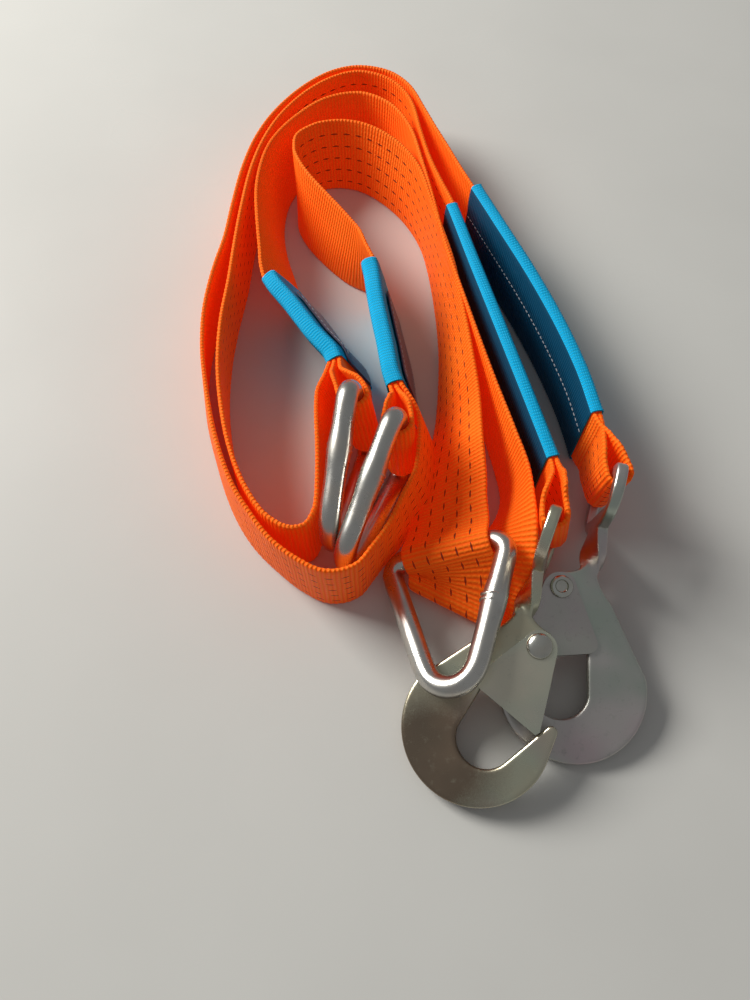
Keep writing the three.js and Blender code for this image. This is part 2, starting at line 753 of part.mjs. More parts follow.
// The eye round a hook's cross bar: down one side, round the bar and back up the other
function hookEyeTurn(holder, sleeveEnd) {
  const barCentre = new THREE.Vector3(0, HOOK_EYE_END - HOOK_EYE_BAR / 2, 0);
  holder.localToWorld(barCentre);
  const across = new THREE.Vector3(0, 0, 1).transformDirection(holder.matrixWorld);
  if (across.z < 0) {
    across.negate();
  }
  const approach = barCentre.clone().sub(sleeveEnd);
  const radius = Math.hypot(HOOK_EYE_BAR, HOOK_PLATE) / 2 + BAR_GAP + WEBBING_THICKNESS / 2;
  return turnRound(barCentre, across, approach, radius, 8);
}

function joined(...parts) {
  const frames = [];
  parts.forEach((part) => {
    if (frames.length > 0) {
      frames.push(...blended(frames[frames.length - 1], part[0], 4));
    }
    frames.push(...part);
  });
  return frames;
}

const laneARows = [...longSleeveA, ...innerLane, ...shortSleeve1, ...middleArc];
const sleeveAEnd = longSleeveA.length - 1;
const sleeve1Start = longSleeveA.length + innerLane.length;
const sleeve1End = sleeve1Start + shortSleeve1.length - 1;
const laneAFrames = stretch(laneARows, 0, laneARows.length - 1, RIBBON_STEP);

const laneBRows = [...innerArc, ...shortSleeve2, ...outerLane, ...longSleeveB];
const sleeve2Start = innerArc.length;
const sleeve2End = sleeve2Start + shortSleeve2.length - 1;
const sleeveBStart = sleeve2End + 1 + outerLane.length;
const laneBFrames = stretch(laneBRows, 0, laneBRows.length - 1, RIBBON_STEP);

// Moves a stretch of a lane sideways inside its sleeve, easing in and out over a few frames
function eased(frames, rows, first, last, distance, reach) {
  const start = nearest(frames, rows[first]);
  const end = nearest(frames, rows[last]);
  return frames.map((f, i) => {
    const outside = Math.max(start - i, i - end, 0);
    const share = Math.max(0, 1 - outside / reach);
    const smooth = share * share * (3 - 2 * share);
    return frame(f.point.clone().addScaledVector(f.normal, distance * smooth), f.across, f.along);
  });
}

const easeReach = 5;
let laneA = eased(laneAFrames, laneARows, 0, sleeveAEnd, layerPitch / 2, easeReach);
laneA = eased(laneA, laneARows, sleeve1Start, sleeve1End, -layerPitch, easeReach);
let laneB = eased(laneBFrames, laneBRows, sleeve2Start, sleeve2End, -layerPitch, easeReach);
laneB = eased(laneB, laneBRows, sleeveBStart, laneBRows.length - 1, layerPitch / 2, easeReach);

// The free tail of each hook eye, sewn to the lane inside the long sleeve
const tailCount = 10;
const sleeveAFrames = laneAFrames.slice(0, nearest(laneAFrames, laneARows[sleeveAEnd]) + 1);
const sleeveBFrames = laneBFrames.slice(nearest(laneBFrames, laneBRows[sleeveBStart]));
const tailA = reversed(shifted(sleeveAFrames.slice(0, tailCount), -layerPitch / 2));
const tailB = shifted(sleeveBFrames.slice(-tailCount), -layerPitch / 2);
const turnA = hookEyeTurn(hookA, laneAFrames[0].point);
const turnB = hookEyeTurn(hookB, laneBFrames[laneBFrames.length - 1].point);

const strap = joined(
  tailA, turnA, laneA, foldFrames(), overBarFrames(), laneB, reversed(turnB), reversed(tailB));
add('webbing_strap', ribbon(strap), WEBBING);

// A short webbing loop in each short sleeve, round the base bar of its ring
function ringEye(sleeveFrames, ring, layers) {
  const radius = RING_WIRE / 2 + BAR_GAP + WEBBING_THICKNESS / 2;
  const mouth = sleeveFrames[sleeveFrames.length - 1];
  const turn = turnRound(ring.middle, ring.barDirection,
    ring.middle.clone().sub(mouth.point), radius, 8);
  const right = shifted(sleeveFrames, layers[0]);
  const left = reversed(shifted(sleeveFrames, layers[1]));
  return joined(right, turn, left);
}

const sleeve1Frames = reversed(laneAFrames.slice(
  nearest(laneAFrames, laneARows[sleeve1Start]), nearest(laneAFrames, laneARows[sleeve1End]) + 1));
const sleeve2Frames = laneBFrames.slice(
  nearest(laneBFrames, laneBRows[sleeve2Start]), nearest(laneBFrames, laneBRows[sleeve2End]) + 1);
add('ring_eye_1', ribbon(ringEye(sleeve1Frames.slice(2), ring1, [0, -layerPitch])), WEBBING);
add('ring_eye_2', ribbon(ringEye(sleeve2Frames.slice(2), ring2, [layerPitch, 0])), WEBBING);

// Wear sleeves
const insideTwo = 2 * layerPitch + LAYER_GAP;
const insideThree = 3 * layerPitch + LAYER_GAP + SLEEVE_EASE;
add('long_sleeve_a', sheath(sleeveAFrames, insideTwo), SLEEVE);
add('long_sleeve_b', sheath(sleeveBFrames, insideTwo), SLEEVE);
add('short_sleeve_1', sheath(sleeve1Frames, insideThree), SLEEVE);
add('short_sleeve_2', sheath(sleeve2Frames, insideThree), SLEEVE);

// Blank cloth tags on the right side of the short sleeves
const tagShift = insideThree / 2 + SLEEVE_WALL + LAYER_GAP + TAG_THICKNESS / 2;
add('tag_1', ribbon(shifted(sleeve1Frames.slice(2), -tagShift), TAG_HEIGHT, TAG_THICKNESS), TAG);
add('tag_2', ribbon(shifted(sleeve2Frames.slice(2), -tagShift), TAG_HEIGHT, TAG_THICKNESS), TAG);

// The whole part stands with the middle of its lowest face at the origin
group.updateMatrixWorld(true);
const bounds = new THREE.Box3();
group.traverse((object) => {
  if (object.isMesh) {
    const moved = object.geometry.clone().applyMatrix4(object.matrixWorld);
    moved.computeBoundingBox();
    bounds.union(moved.boundingBox);
  }
});
group.position.set(
  -(bounds.min.x + bounds.max.x) / 2, -(bounds.min.y + bounds.max.y) / 2, -bounds.min.z);

export default group;
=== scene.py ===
"""A coiled two-leg winch bridle: webbing, sleeves, tags, rings and snap hooks on a pale table."""
import math
import random

import bmesh
import bpy
from mathutils import Matrix, Vector


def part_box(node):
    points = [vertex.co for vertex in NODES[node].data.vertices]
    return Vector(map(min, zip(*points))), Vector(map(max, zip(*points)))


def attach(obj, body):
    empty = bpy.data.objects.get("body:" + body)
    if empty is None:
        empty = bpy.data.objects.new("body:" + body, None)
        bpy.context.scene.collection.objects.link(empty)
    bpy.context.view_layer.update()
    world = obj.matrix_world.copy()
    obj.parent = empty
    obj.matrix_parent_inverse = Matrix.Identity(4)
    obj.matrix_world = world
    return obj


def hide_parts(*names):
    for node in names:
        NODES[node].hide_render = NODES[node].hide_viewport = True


bl_info = {
    "name": "Winch Strap",
    "version": (1, 0, 0),
    "blender": (4, 5, 0),
    "location": "3D View > Sidebar > Winch Strap",
    "description": "Dresses the coiled winch strap with webbing, sleeves, tags and plated steel",
    "category": "Object",
}

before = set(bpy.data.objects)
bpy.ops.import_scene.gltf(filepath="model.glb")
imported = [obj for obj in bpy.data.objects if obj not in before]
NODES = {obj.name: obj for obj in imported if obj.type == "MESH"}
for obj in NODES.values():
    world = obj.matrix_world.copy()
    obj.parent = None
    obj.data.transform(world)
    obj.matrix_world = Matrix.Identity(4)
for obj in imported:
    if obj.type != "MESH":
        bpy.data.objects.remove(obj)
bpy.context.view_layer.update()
MM = 0.001
TAU = 2 * math.pi
COIL_FRONT = Vector((0.05, -0.4, 0.02))

# Where the pieces lie, in metres: the middle of the coil is the origin
SHIFT = Vector((-14.967, -272.927, 0.033)) * MM
HOOK_PLACES = {
    "a": ((39.8, 27.1, 5.2), 22, 14, -7, False),
    "b": ((87.3, 48.3, 3.7), 16, 12.2, 0, True),
}
RING_PLACES = {
    "ring_1": ((-8.5, 228, 39.5), (8, 183), (-19.5, 157, 19)),
    "ring_2": ((13.6, 211.3, 39.5), (5, 200), (-11.5, 148.3, 18.5)),
    "ring_3": ((39.1, 153.4, 22.6), (61.6, 2.5), (43.8, 77.1, 35.6)),
}
# The thickness of the flat inside of each sleeve, in millimetres
SLEEVE_INSIDES = {
    "long_sleeve_a": 6.25,
    "long_sleeve_b": 6.25,
    "short_sleeve_1": 9.7,
    "short_sleeve_2": 9.7,
}

# Sizes of the steel: the hook's own frame has x towards its mouth and y from the bow to the eye
HOOK_PLATE = 6
RIVET_PLACE = Vector((13, 86, 0)) * MM
RIVET_SEAT = HOOK_PLATE / 2 + 0.35 + 1.5 + 0.3
NECK_START, NECK_LENGTH, NECK_ROOT, NECK_SPREAD = 98, 28, 9, 13
WELD_PLACE = Vector((24.1, 34.2, 0)) * MM
RIB_HEIGHT = 0.00016
FRAY = 0.0004
RING_LEG = Vector((-16.5, 58.5, 0)).normalized()
TRACER_GAP = 0.00856


class StrapSizes(bpy.types.PropertyGroup):
    """Sizes of the strap's cloth"""
    webbing_width: bpy.props.FloatProperty(
        name="Webbing width", description="Width of the strap", default=0.05, unit="LENGTH")
    webbing_thickness: bpy.props.FloatProperty(
        name="Webbing thickness", description="Thickness of one layer", default=0.0026,
        unit="LENGTH")
    webbing_step: bpy.props.FloatProperty(
        name="Webbing step", description="Distance between sections of the webbing's mesh",
        default=0.0011, unit="LENGTH")
    edge_twist: bpy.props.FloatProperty(
        name="Edge twist", description="Length of one turn of the corded edge", default=0.0036,
        unit="LENGTH")
    sleeve_wall: bpy.props.FloatProperty(
        name="Sleeve wall", description="Thickness of the sleeve's cloth", default=0.0013,
        unit="LENGTH")
    sleeve_rib: bpy.props.FloatProperty(
        name="Sleeve rib", description="Distance between the sleeve's ribs", default=0.0019,
        unit="LENGTH")
    tag_height: bpy.props.FloatProperty(
        name="Tag height", description="Height of the blank tags", default=0.036, unit="LENGTH")
    stitch_length: bpy.props.FloatProperty(
        name="Stitch length", description="Distance between two stitches", default=0.0036,
        unit="LENGTH")


class StrapColours(bpy.types.PropertyGroup):
    """Colours of the strap"""
    webbing: bpy.props.FloatVectorProperty(
        name="Webbing", description="Fluorescent orange yarn", subtype="COLOR",
        default=(1.0, 0.105, 0.003), min=0, max=1)
    webbing_light: bpy.props.FloatVectorProperty(
        name="Webbing crests", description="Where the ribs catch the light", subtype="COLOR",
        default=(1.0, 0.26, 0.02), min=0, max=1)
    tracer: bpy.props.FloatVectorProperty(
        name="Tracer", description="Dark tracer yarn", subtype="COLOR",
        default=(0.025, 0.012, 0.012), min=0, max=1)
    sleeve: bpy.props.FloatVectorProperty(
        name="Sleeve", description="Blue sleeve yarn", subtype="COLOR",
        default=(0.0, 0.56, 1.0), min=0, max=1)
    tag: bpy.props.FloatVectorProperty(
        name="Tag", description="Dark label cloth", subtype="COLOR",
        default=(0.022, 0.012, 0.05), min=0, max=1)
    thread: bpy.props.FloatVectorProperty(
        name="Thread", description="Pale sewing thread", subtype="COLOR",
        default=(0.55, 0.56, 0.6), min=0, max=1)
    ring: bpy.props.FloatVectorProperty(
        name="Ring zinc", description="Bright zinc plate", subtype="COLOR",
        default=(0.62, 0.6, 0.56), min=0, max=1)
    hook: bpy.props.FloatVectorProperty(
        name="Hook zinc", description="Passivated zinc plate", subtype="COLOR",
        default=(0.60, 0.64, 0.50), min=0, max=1)
    table: bpy.props.FloatVectorProperty(
        name="Table", description="Pale glossy table top", subtype="COLOR",
        default=(0.61, 0.60, 0.57), min=0, max=1)


# Selection and mesh helpers

def start_fresh():
    """Leaves edit mode and selects nothing."""
    if bpy.context.object and bpy.context.object.mode != "OBJECT":
        bpy.ops.object.mode_set(mode="OBJECT")
    bpy.ops.object.select_all(action="DESELECT")


def choose(*objects):
    """Selects these objects and makes the first one active."""
    start_fresh()
    for piece in objects:
        piece.select_set(True)
    bpy.context.view_layer.objects.active = objects[0]


def finish_modifiers(piece):
    """Applies every modifier of a piece."""
    choose(piece)
    for modifier in list(piece.modifiers):
        bpy.ops.object.modifier_apply(modifier=modifier.name)


def bevelled(piece, width, segments, degrees):
    """Adds a bevel to the edges of a piece that are sharper than an angle."""
    edge = piece.modifiers.new("Edge", "BEVEL")
    edge.width = width
    edge.segments = segments
    edge.limit_method = "ANGLE"
    edge.angle_limit = math.radians(degrees)


def pierced(piece, cutter):
    """Cuts one piece with another and takes the cutter away."""
    opening = piece.modifiers.new("Opening", "BOOLEAN")
    opening.operation = "DIFFERENCE"
    opening.object = cutter
    finish_modifiers(piece)
    bpy.data.objects.remove(cutter)


def joined(name, pieces):
    """Joins pieces into the first one and names it."""
    choose(*pieces)
    if len(pieces) > 1:
        bpy.ops.object.join()
    piece = bpy.context.object
    piece.name = name
    piece.data.name = name
    return piece


def settle(piece, matrix=None):
    """Puts a piece's place into its mesh and leaves its object at the origin."""
    if matrix is not None:
        piece.data.transform(matrix)
    piece.data.transform(piece.matrix_world)
    piece.matrix_world = Matrix.Identity(4)


def smooth(piece, degrees=35):
    """Shades a piece smooth up to an angle."""
    choose(piece)
    bpy.ops.object.shade_smooth_by_angle(angle=math.radians(degrees))


def place(piece, node, body, material):
    """Gives a new piece its finish, its body and the CAD node that it stands for."""
    piece.data.materials.clear()
    piece.data.materials.append(material)
    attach(piece, body)
    if node:
        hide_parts(node)


# Shared node groups

def new_group(name, inputs, outputs):
    """An empty node group with its sockets."""
    group = bpy.data.node_groups.new(name, "ShaderNodeTree")
    for label, kind, value in inputs:
        socket = group.interface.new_socket(label, in_out="INPUT", socket_type=kind)
        if value is not None:
            socket.default_value = value
    for label, kind in outputs:
        group.interface.new_socket(label, in_out="OUTPUT", socket_type=kind)
    return group, group.nodes.new("NodeGroupInput"), group.nodes.new("NodeGroupOutput")


def maths(tree, operation, first, second=None, third=None, clamp=False):
    """A Math node on sockets or numbers; returns its result."""
    node = tree.nodes.new("ShaderNodeMath")
    node.operation = operation
    node.use_clamp = clamp
    for slot, value in zip(node.inputs, (first, second, third)):
        if value is None:
            continue
        if isinstance(value, (int, float)):
            slot.default_value = value
        else:
            tree.links.new(value, slot)
    return node.outputs[0]


def mixed(tree, factor, first, second):
    """A colour mix; each of the values is a socket or a colour."""
    node = tree.nodes.new("ShaderNodeMix")
    node.data_type = "RGBA"
    for slot, value in zip((node.inputs[0], *node.inputs[6:8]), (factor, first, second)):
        if isinstance(value, (int, float)):
            slot.default_value = value
        elif hasattr(value, "__len__"):
            slot.default_value = (*value[:3], 1)
        else:
            tree.links.new(value, slot)
    return node.outputs[2]


def noise(tree, vector, scale, detail=3, roughness=0.5):
    """A noise texture's value."""
    node = tree.nodes.new("ShaderNodeTexNoise")
    node.inputs["Scale"].default_value = scale
    node.inputs["Detail"].default_value = detail
    node.inputs["Roughness"].default_value = roughness
    if vector is not None:
        tree.links.new(vector, node.inputs["Vector"])
    return node.outputs["Fac"]


def ranged(tree, value, low, high, to_low=0.0, to_high=1.0):
    """A value brought from one range to another."""
    node = tree.nodes.new("ShaderNodeMapRange")
    tree.links.new(value, node.inputs["Value"])
    for label, number in (("From Min", low), ("From Max", high), ("To Min", to_low),
                          ("To Max", to_high)):
        node.inputs[label].default_value = number
    return node.outputs["Result"]


def weave_group():
    """Woven ribs from the cloth's own map: u runs along the yarn in metres, v across."""
    group, start, end = new_group(
        "Woven ribs",
        [("Map", "NodeSocketVector", None), ("Rib", "NodeSocketFloat", 0.002),
         ("Column", "NodeSocketFloat", 0.0034), ("Slant", "NodeSocketFloat", 0.5),
         ("Yarn", "NodeSocketFloat", 0.0007)],
        [("Height", "NodeSocketFloat"), ("Crest", "NodeSocketFloat"), ("Fuzz", "NodeSocketFloat")])
    split = group.nodes.new("ShaderNodeSeparateXYZ")
    group.links.new(start.outputs["Map"], split.inputs[0])
    along, across = split.outputs[0], split.outputs[1]
    wobble = noise(group, start.outputs["Map"], 90, 2)
    wobble = maths(group, "MULTIPLY", maths(group, "SUBTRACT", wobble, 0.5), 0.35)
    column = maths(group, "FRACT", maths(group, "DIVIDE", across, start.outputs["Column"]))
    chevron = maths(group, "ABSOLUTE", maths(group, "SUBTRACT", column, 0.5))
    chevron = maths(group, "MULTIPLY", chevron, start.outputs["Slant"])
    phase = maths(group, "DIVIDE", along, start.outputs["Rib"])
    phase = maths(group, "ADD", maths(group, "ADD", phase, chevron), wobble)
    rib = maths(group, "SINE", maths(group, "MULTIPLY", phase, TAU))
    rib = maths(group, "MULTIPLY_ADD", rib, 0.5, 0.5)
    groove = maths(group, "SINE", maths(group, "MULTIPLY", column, math.pi))
    groove = maths(group, "POWER", groove, 0.35)
    yarn = maths(group, "DIVIDE", across, start.outputs["Yarn"])
    yarn = maths(group, "SINE", maths(group, "MULTIPLY", yarn, TAU))
    yarn = maths(group, "MULTIPLY_ADD", yarn, 0.12, 0.88)
    fuzz = noise(group, start.outputs["Map"], 1400, 3, 0.6)
    height = maths(group, "MULTIPLY", maths(group, "MULTIPLY", rib, groove), yarn)
    height = maths(group, "MULTIPLY_ADD", fuzz, 0.18, height)
    group.links.new(height, end.inputs["Height"])
    group.links.new(rib, end.inputs["Crest"])
    group.links.new(fuzz, end.inputs["Fuzz"])
    return group


def tracer_group():
    """Dashes of dark yarn on one face: five rows side by side."""
    group, start, end = new_group(
        "Tracer dashes",
        [("Map", "NodeSocketVector", None), ("First row", "NodeSocketFloat", 0.0),
         ("Row gap", "NodeSocketFloat", TRACER_GAP), ("Pitch", "NodeSocketFloat", 0.0084)],
        [("Mask", "NodeSocketFloat")])
    split = group.nodes.new("ShaderNodeSeparateXYZ")
    group.links.new(start.outputs["Map"], split.inputs[0])
    rows = maths(group, "DIVIDE",
                 maths(group, "SUBTRACT", split.outputs[1], start.outputs["First row"]),
                 start.outputs["Row gap"])
    near = maths(group, "ROUND", rows)
    inside = maths(group, "LESS_THAN", maths(group, "ABSOLUTE", maths(group, "SUBTRACT", near, 2)),
                   2.5)
    off = maths(group, "ABSOLUTE", maths(group, "SUBTRACT", rows, near))
    off = maths(group, "MULTIPLY", off, start.outputs["Row gap"])
    jog = maths(group, "MULTIPLY", near, 0.07)
    turn = maths(group, "FRACT", maths(group, "ADD",
                 maths(group, "DIVIDE", split.outputs[0], start.outputs["Pitch"]), jog))
    length = maths(group, "ABSOLUTE", maths(group, "SUBTRACT", turn, 0.5))
    taper = maths(group, "SUBTRACT", 0.3, length)
    taper = maths(group, "SQRT", maths(group, "MAXIMUM", taper, 0))
    width = maths(group, "MULTIPLY", taper, 0.0012)
    mask = maths(group, "DIVIDE", maths(group, "SUBTRACT", width, off), 0.00012, clamp=True)
    mask = maths(group, "MULTIPLY", mask, inside, clamp=True)
    group.links.new(mask, end.inputs["Mask"])
    return group


def plate_group():
    """Zinc plate: fine pitting, soft clouding and brushed wear."""
    group, start, end = new_group(
        "Zinc plate",
        [("Place", "NodeSocketVector", None), ("Pit size", "NodeSocketFloat", 900),
         ("Cloud size", "NodeSocketFloat", 45)],
        [("Pits", "NodeSocketFloat"), ("Clouds", "NodeSocketFloat"), ("Wear", "NodeSocketFloat")])
    fine = group.nodes.new("ShaderNodeTexNoise")
    fine.inputs["Detail"].default_value = 4
    group.links.new(start.outputs["Place"], fine.inputs["Vector"])
    group.links.new(start.outputs["Pit size"], fine.inputs["Scale"])
    broad = group.nodes.new("ShaderNodeTexNoise")
    broad.inputs["Detail"].default_value = 2
    group.links.new(start.outputs["Place"], broad.inputs["Vector"])
    group.links.new(start.outputs["Cloud size"], broad.inputs["Scale"])
    wear = noise(group, start.outputs["Place"], 260, 6, 0.7)
    group.links.new(fine.outputs["Fac"], end.inputs["Pits"])
    group.links.new(broad.outputs["Fac"], end.inputs["Clouds"])
    group.links.new(ranged(group, wear, 0.56, 0.72), end.inputs["Wear"])
    return group


GROUPS = {}
FINISHES = {}


def group_node(tree, name, **values):
    node = tree.nodes.new("ShaderNodeGroup")
    node.node_tree = GROUPS[name]
    for label, value in values.items():
        slot = node.inputs[label.replace("_", " ")]
        if isinstance(value, (int, float)):
            slot.default_value = value
        else:
            tree.links.new(value, slot)
    return node


def blank_material(name):
    material = bpy.data.materials.new(name)
    material.use_nodes = True
    tree = material.node_tree
    return material, tree, tree.nodes["Principled BSDF"]


def bumped(tree, shader, height, strength, distance):
    bump = tree.nodes.new("ShaderNodeBump")
    bump.inputs["Strength"].default_value = strength
    bump.inputs["Distance"].default_value = distance
    tree.links.new(height, bump.inputs["Height"])
    tree.links.new(bump.outputs["Normal"], shader.inputs["Normal"])


def cloth_map(tree):
    node = tree.nodes.new("ShaderNodeUVMap")
    node.uv_map = "cloth"
    return node.outputs["UV"]


def webbing_material(colours, sizes, name, tracers):
    """Ribbed orange webbing, with dark tracer dashes on its second face."""
    material, tree, shader = blank_material(name)
    uv = cloth_map(tree)
    weave = group_node(tree, "weave", Map=uv, Rib=0.0023, Column=0.0031, Slant=0.12, Yarn=0.00052)
    # Painted highlight: the rib crests are mixed towards the paler crest colour.
    colour = mixed(tree, ranged(tree, weave.outputs["Crest"], 0.2, 1.0, 0.0, 0.75),
                   colours.webbing, colours.webbing_light)
    fade = noise(tree, uv, 22, 3)
    colour = mixed(tree, ranged(tree, fade, 0.35, 0.75, 0.0, 0.35), colour,
                   tuple(colours.webbing_light))
    fleck = ranged(tree, weave.outputs["Fuzz"], 0.3, 0.55, 0.25, 0.0)
    colour = mixed(tree, fleck, colour, (0.72, 0.06, 0.003))
    if tracers:
        first = sizes.webbing_width * 1.5 + sizes.webbing_thickness - 2 * TRACER_GAP
        dashes = group_node(tree, "tracer", Map=uv, First_row=first)
        colour = mixed(tree, dashes.outputs["Mask"], colour, tuple(colours.tracer))
    tree.links.new(colour, shader.inputs["Base Color"])
    shader.inputs["Roughness"].default_value = 0.55
    shader.inputs["Specular IOR Level"].default_value = 0.25
    shader.inputs["Specular Tint"].default_value = (1.0, 0.6, 0.3, 1)
    # Painted glow: a constant orange emission stands in for the yarn's fluorescence; it deepens
    # the red of the webbing's shade and casts an orange glow on the table.
    shader.inputs["Emission Color"].default_value = (1.0, 0.045, 0.002, 1)
    shader.inputs["Emission Strength"].default_value = 0.13
    bumped(tree, shader, weave.outputs["Height"], 1.0, 0.0006)
    return material


def sleeve_material(colours, name, painted_shade_band):
    """Blue ribbed sleeve webbing; a band of painted shade on its back starts and ends at places
    across the map.
    """
    material, tree, shader = blank_material(name)
    uv = cloth_map(tree)
    weave = group_node(tree, "weave", Map=uv, Rib=0.0019, Column=0.0011, Slant=0.8, Yarn=0.00055)
    # Painted shade: the sleeve colour is darkened where the weave's height is low, in the grooves
    # between the ribs.
    dark = tuple(c * 0.45 for c in colours.sleeve)
    colour = mixed(tree, ranged(tree, weave.outputs["Height"], 0.05, 0.75), dark,
                   tuple(colours.sleeve))
    # Painted glints: fine fuzz specks are mixed towards a paler blue.
    gleam = ranged(tree, weave.outputs["Fuzz"], 0.55, 0.8, 0.0, 0.35)
    colour = mixed(tree, gleam, colour, (0.06, 0.45, 0.95))
    # Painted shade: a band across the map, the back face of the sleeve, is mixed almost to navy.
    if painted_shade_band:
        split = tree.nodes.new("ShaderNodeSeparateXYZ")
        tree.links.new(uv, split.inputs[0])
        low, high = painted_shade_band
        inside = maths(tree, "MULTIPLY", maths(tree, "GREATER_THAN", split.outputs[1], low),
                       maths(tree, "LESS_THAN", split.outputs[1], high))
        colour = mixed(tree, maths(tree, "MULTIPLY", inside, 0.9), colour, (0.001, 0.02, 0.06))
    tree.links.new(colour, shader.inputs["Base Color"])
    shader.inputs["Roughness"].default_value = 0.5
    shader.inputs["Specular IOR Level"].default_value = 0.3
    shader.inputs["Specular Tint"].default_value = (0.5, 0.85, 1.0, 1)
    bumped(tree, shader, weave.outputs["Height"], 0.8, 0.0004)
    return material


def tag_material(colours):
    """Dark blank label cloth: a fine satin weave with soft scuffs."""
    material, tree, shader = blank_material("Tag cloth")
    uv = cloth_map(tree)
    weave = group_node(tree, "weave", Map=uv, Rib=0.0007, Column=0.0009, Slant=0.0, Yarn=0.0005)
    scuff = ranged(tree, noise(tree, uv, 160, 5, 0.65), 0.52, 0.75, 0.0, 0.5)
    colour = mixed(tree, scuff, tuple(colours.tag), (0.085, 0.055, 0.15))
    tree.links.new(colour, shader.inputs["Base Color"])
    shader.inputs["Roughness"].default_value = 0.5
    shader.inputs["Sheen Weight"].default_value = 0.2
    bumped(tree, shader, weave.outputs["Height"], 0.5, 0.00012)
    return material


def thread_material(name, colour):
    """Sewing thread: fine slanting strands."""
    material, tree, shader = blank_material(name)
    where = tree.nodes.new("ShaderNodeTexCoord").outputs["Object"]
    strand = noise(tree, where, 2600, 2)
    tree.links.new(mixed(tree, strand, tuple(c * 0.6 for c in colour), tuple(colour)),
                   shader.inputs["Base Color"])
    shader.inputs["Roughness"].default_value = 0.7
    bumped(tree, shader, strand, 0.4, 0.0001)
    return material


def zinc_material(name, base, second, tint, roughness, cloud, iridescence, film=None):
    """Zinc plate on steel: clouds of colour, pits, worn spots and perhaps one darker film."""
    material, tree, shader = blank_material(name)
    where = tree.nodes.new("ShaderNodeTexCoord").outputs["Object"]
    plate = group_node(tree, "plate", Place=where, Pit_size=1500, Cloud_size=cloud)
    colour = mixed(tree, ranged(tree, plate.outputs["Clouds"], 0.32, 0.68), tuple(base),
                   tuple(second))
    rainbow = ranged(tree, noise(tree, where, cloud * 0.8, 1), 0.5, 0.7, 0.0, iridescence)
    colour = mixed(tree, rainbow, colour, tint)
    if film:
        middle, reach_out, shade = film
        gap = tree.nodes.new("ShaderNodeVectorMath")
        gap.operation = "DISTANCE"
        tree.links.new(where, gap.inputs[0])
        gap.inputs[1].default_value = middle
        grain = maths(tree, "MULTIPLY_ADD", plate.outputs["Pits"], 0.012, gap.outputs["Value"])
        patch = ranged(tree, grain, reach_out * 0.55, reach_out, 0.92, 0.0)
        colour = mixed(tree, patch, colour, shade)
    speck = maths(tree, "MULTIPLY", plate.outputs["Wear"], 0.35)
    colour = mixed(tree, speck, colour, tuple(c * 0.45 for c in base))
    tree.links.new(colour, shader.inputs["Base Color"])
    shader.inputs["Metallic"].default_value = 1.0
    rough = ranged(tree, plate.outputs["Clouds"], 0.3, 0.7, roughness * 0.8, roughness * 1.3)
    rough = maths(tree, "MULTIPLY_ADD", plate.outputs["Wear"], 0.12, rough)
    tree.links.new(rough, shader.inputs["Roughness"])
    bumped(tree, shader, plate.outputs["Pits"], 0.25, 0.00012)
    return material


def table_material(colours):
    """Glossy pale laminate with faint mottling."""
    material, tree, shader = blank_material("Table laminate")
    where = tree.nodes.new("ShaderNodeTexCoord").outputs["Object"]
    mottle = ranged(tree, noise(tree, where, 9, 4), 0.35, 0.7)
    base = tuple(colours.table)
    colour = mixed(tree, mottle, base, tuple(c * 0.965 for c in base))
    tree.links.new(colour, shader.inputs["Base Color"])
    tree.links.new(ranged(tree, mottle, 0, 1, 0.26, 0.33), shader.inputs["Roughness"])
    shader.inputs["Specular IOR Level"].default_value = 0.06
    return material


def finishes():
    """Builds the shared groups and the materials once."""
    if FINISHES:
        return FINISHES
    colours = bpy.context.scene.strap_colours
    sizes = bpy.context.scene.strap_sizes
    GROUPS.update(weave=weave_group(), tracer=tracer_group(), plate=plate_group())
    FINISHES.update(
        webbing=webbing_material(colours, sizes, "Orange webbing", True),
        plain_webbing=webbing_material(colours, sizes, "Orange webbing, plain", False),
        sleeve=sleeve_material(colours, "Blue sleeve", None),
        # The long sleeves get painted shade on their back face.
        long_sleeve=sleeve_material(colours, "Blue sleeve with painted shade on its back", (0.034, 0.087)),
        tag=tag_material(colours),
        thread=thread_material("Pale thread", tuple(colours.thread)),
        ring=zinc_material("Bright zinc", colours.ring, (0.5, 0.485, 0.45), (0.7, 0.6, 0.5),
                           0.27, 70, 0.3),
        hook_a=zinc_material("Passivated zinc, hook a", colours.hook, (0.55, 0.5, 0.36),
                             (0.62, 0.42, 0.38), 0.27, 34, 0.5,
                             (hook_frame("a") @ Vector((-0.018, 0.016, 0.003)), 0.047,
                              (0.24, 0.17, 0.12))),
        # Painted shade: hook b's base colour is set darker than hook a's, though both are the same
        # passivated plate; its greenish tint is the plate's own.
        hook_b=zinc_material("Passivated zinc, hook b", (0.45, 0.52, 0.44), (0.56, 0.52, 0.5),
                             (0.6, 0.42, 0.47), 0.34, 30, 0.5),
        latch_a=zinc_material("Passivated zinc, latch a", (0.6, 0.68, 0.54), (0.66, 0.62, 0.5),
                              (0.64, 0.5, 0.5), 0.25, 30, 0.4),
        latch_b=zinc_material("Passivated zinc, latch b", (0.52, 0.46, 0.45), (0.5, 0.52, 0.45),
                              (0.62, 0.44, 0.5), 0.3, 30, 0.6),
        rivet=zinc_material("Rivet zinc", (0.6, 0.6, 0.55), (0.5, 0.5, 0.45), (0.6, 0.5, 0.4),
                            0.22, 120, 0.3),
    )
    return FINISHES


# Reading the flat ribbons and tubes of the CAD model as rows of sections

def reach(starts, depth=math.inf):
    """The vertices joined to a set, ring after ring."""
    found, seen = [set(starts)], set(starts)
    while len(found) <= depth:
        ring = {edge.other_vert(v) for v in found[-1] for edge in v.link_edges} - seen
        if not ring:
            break
        seen |= ring
        found.append(ring)
    return found


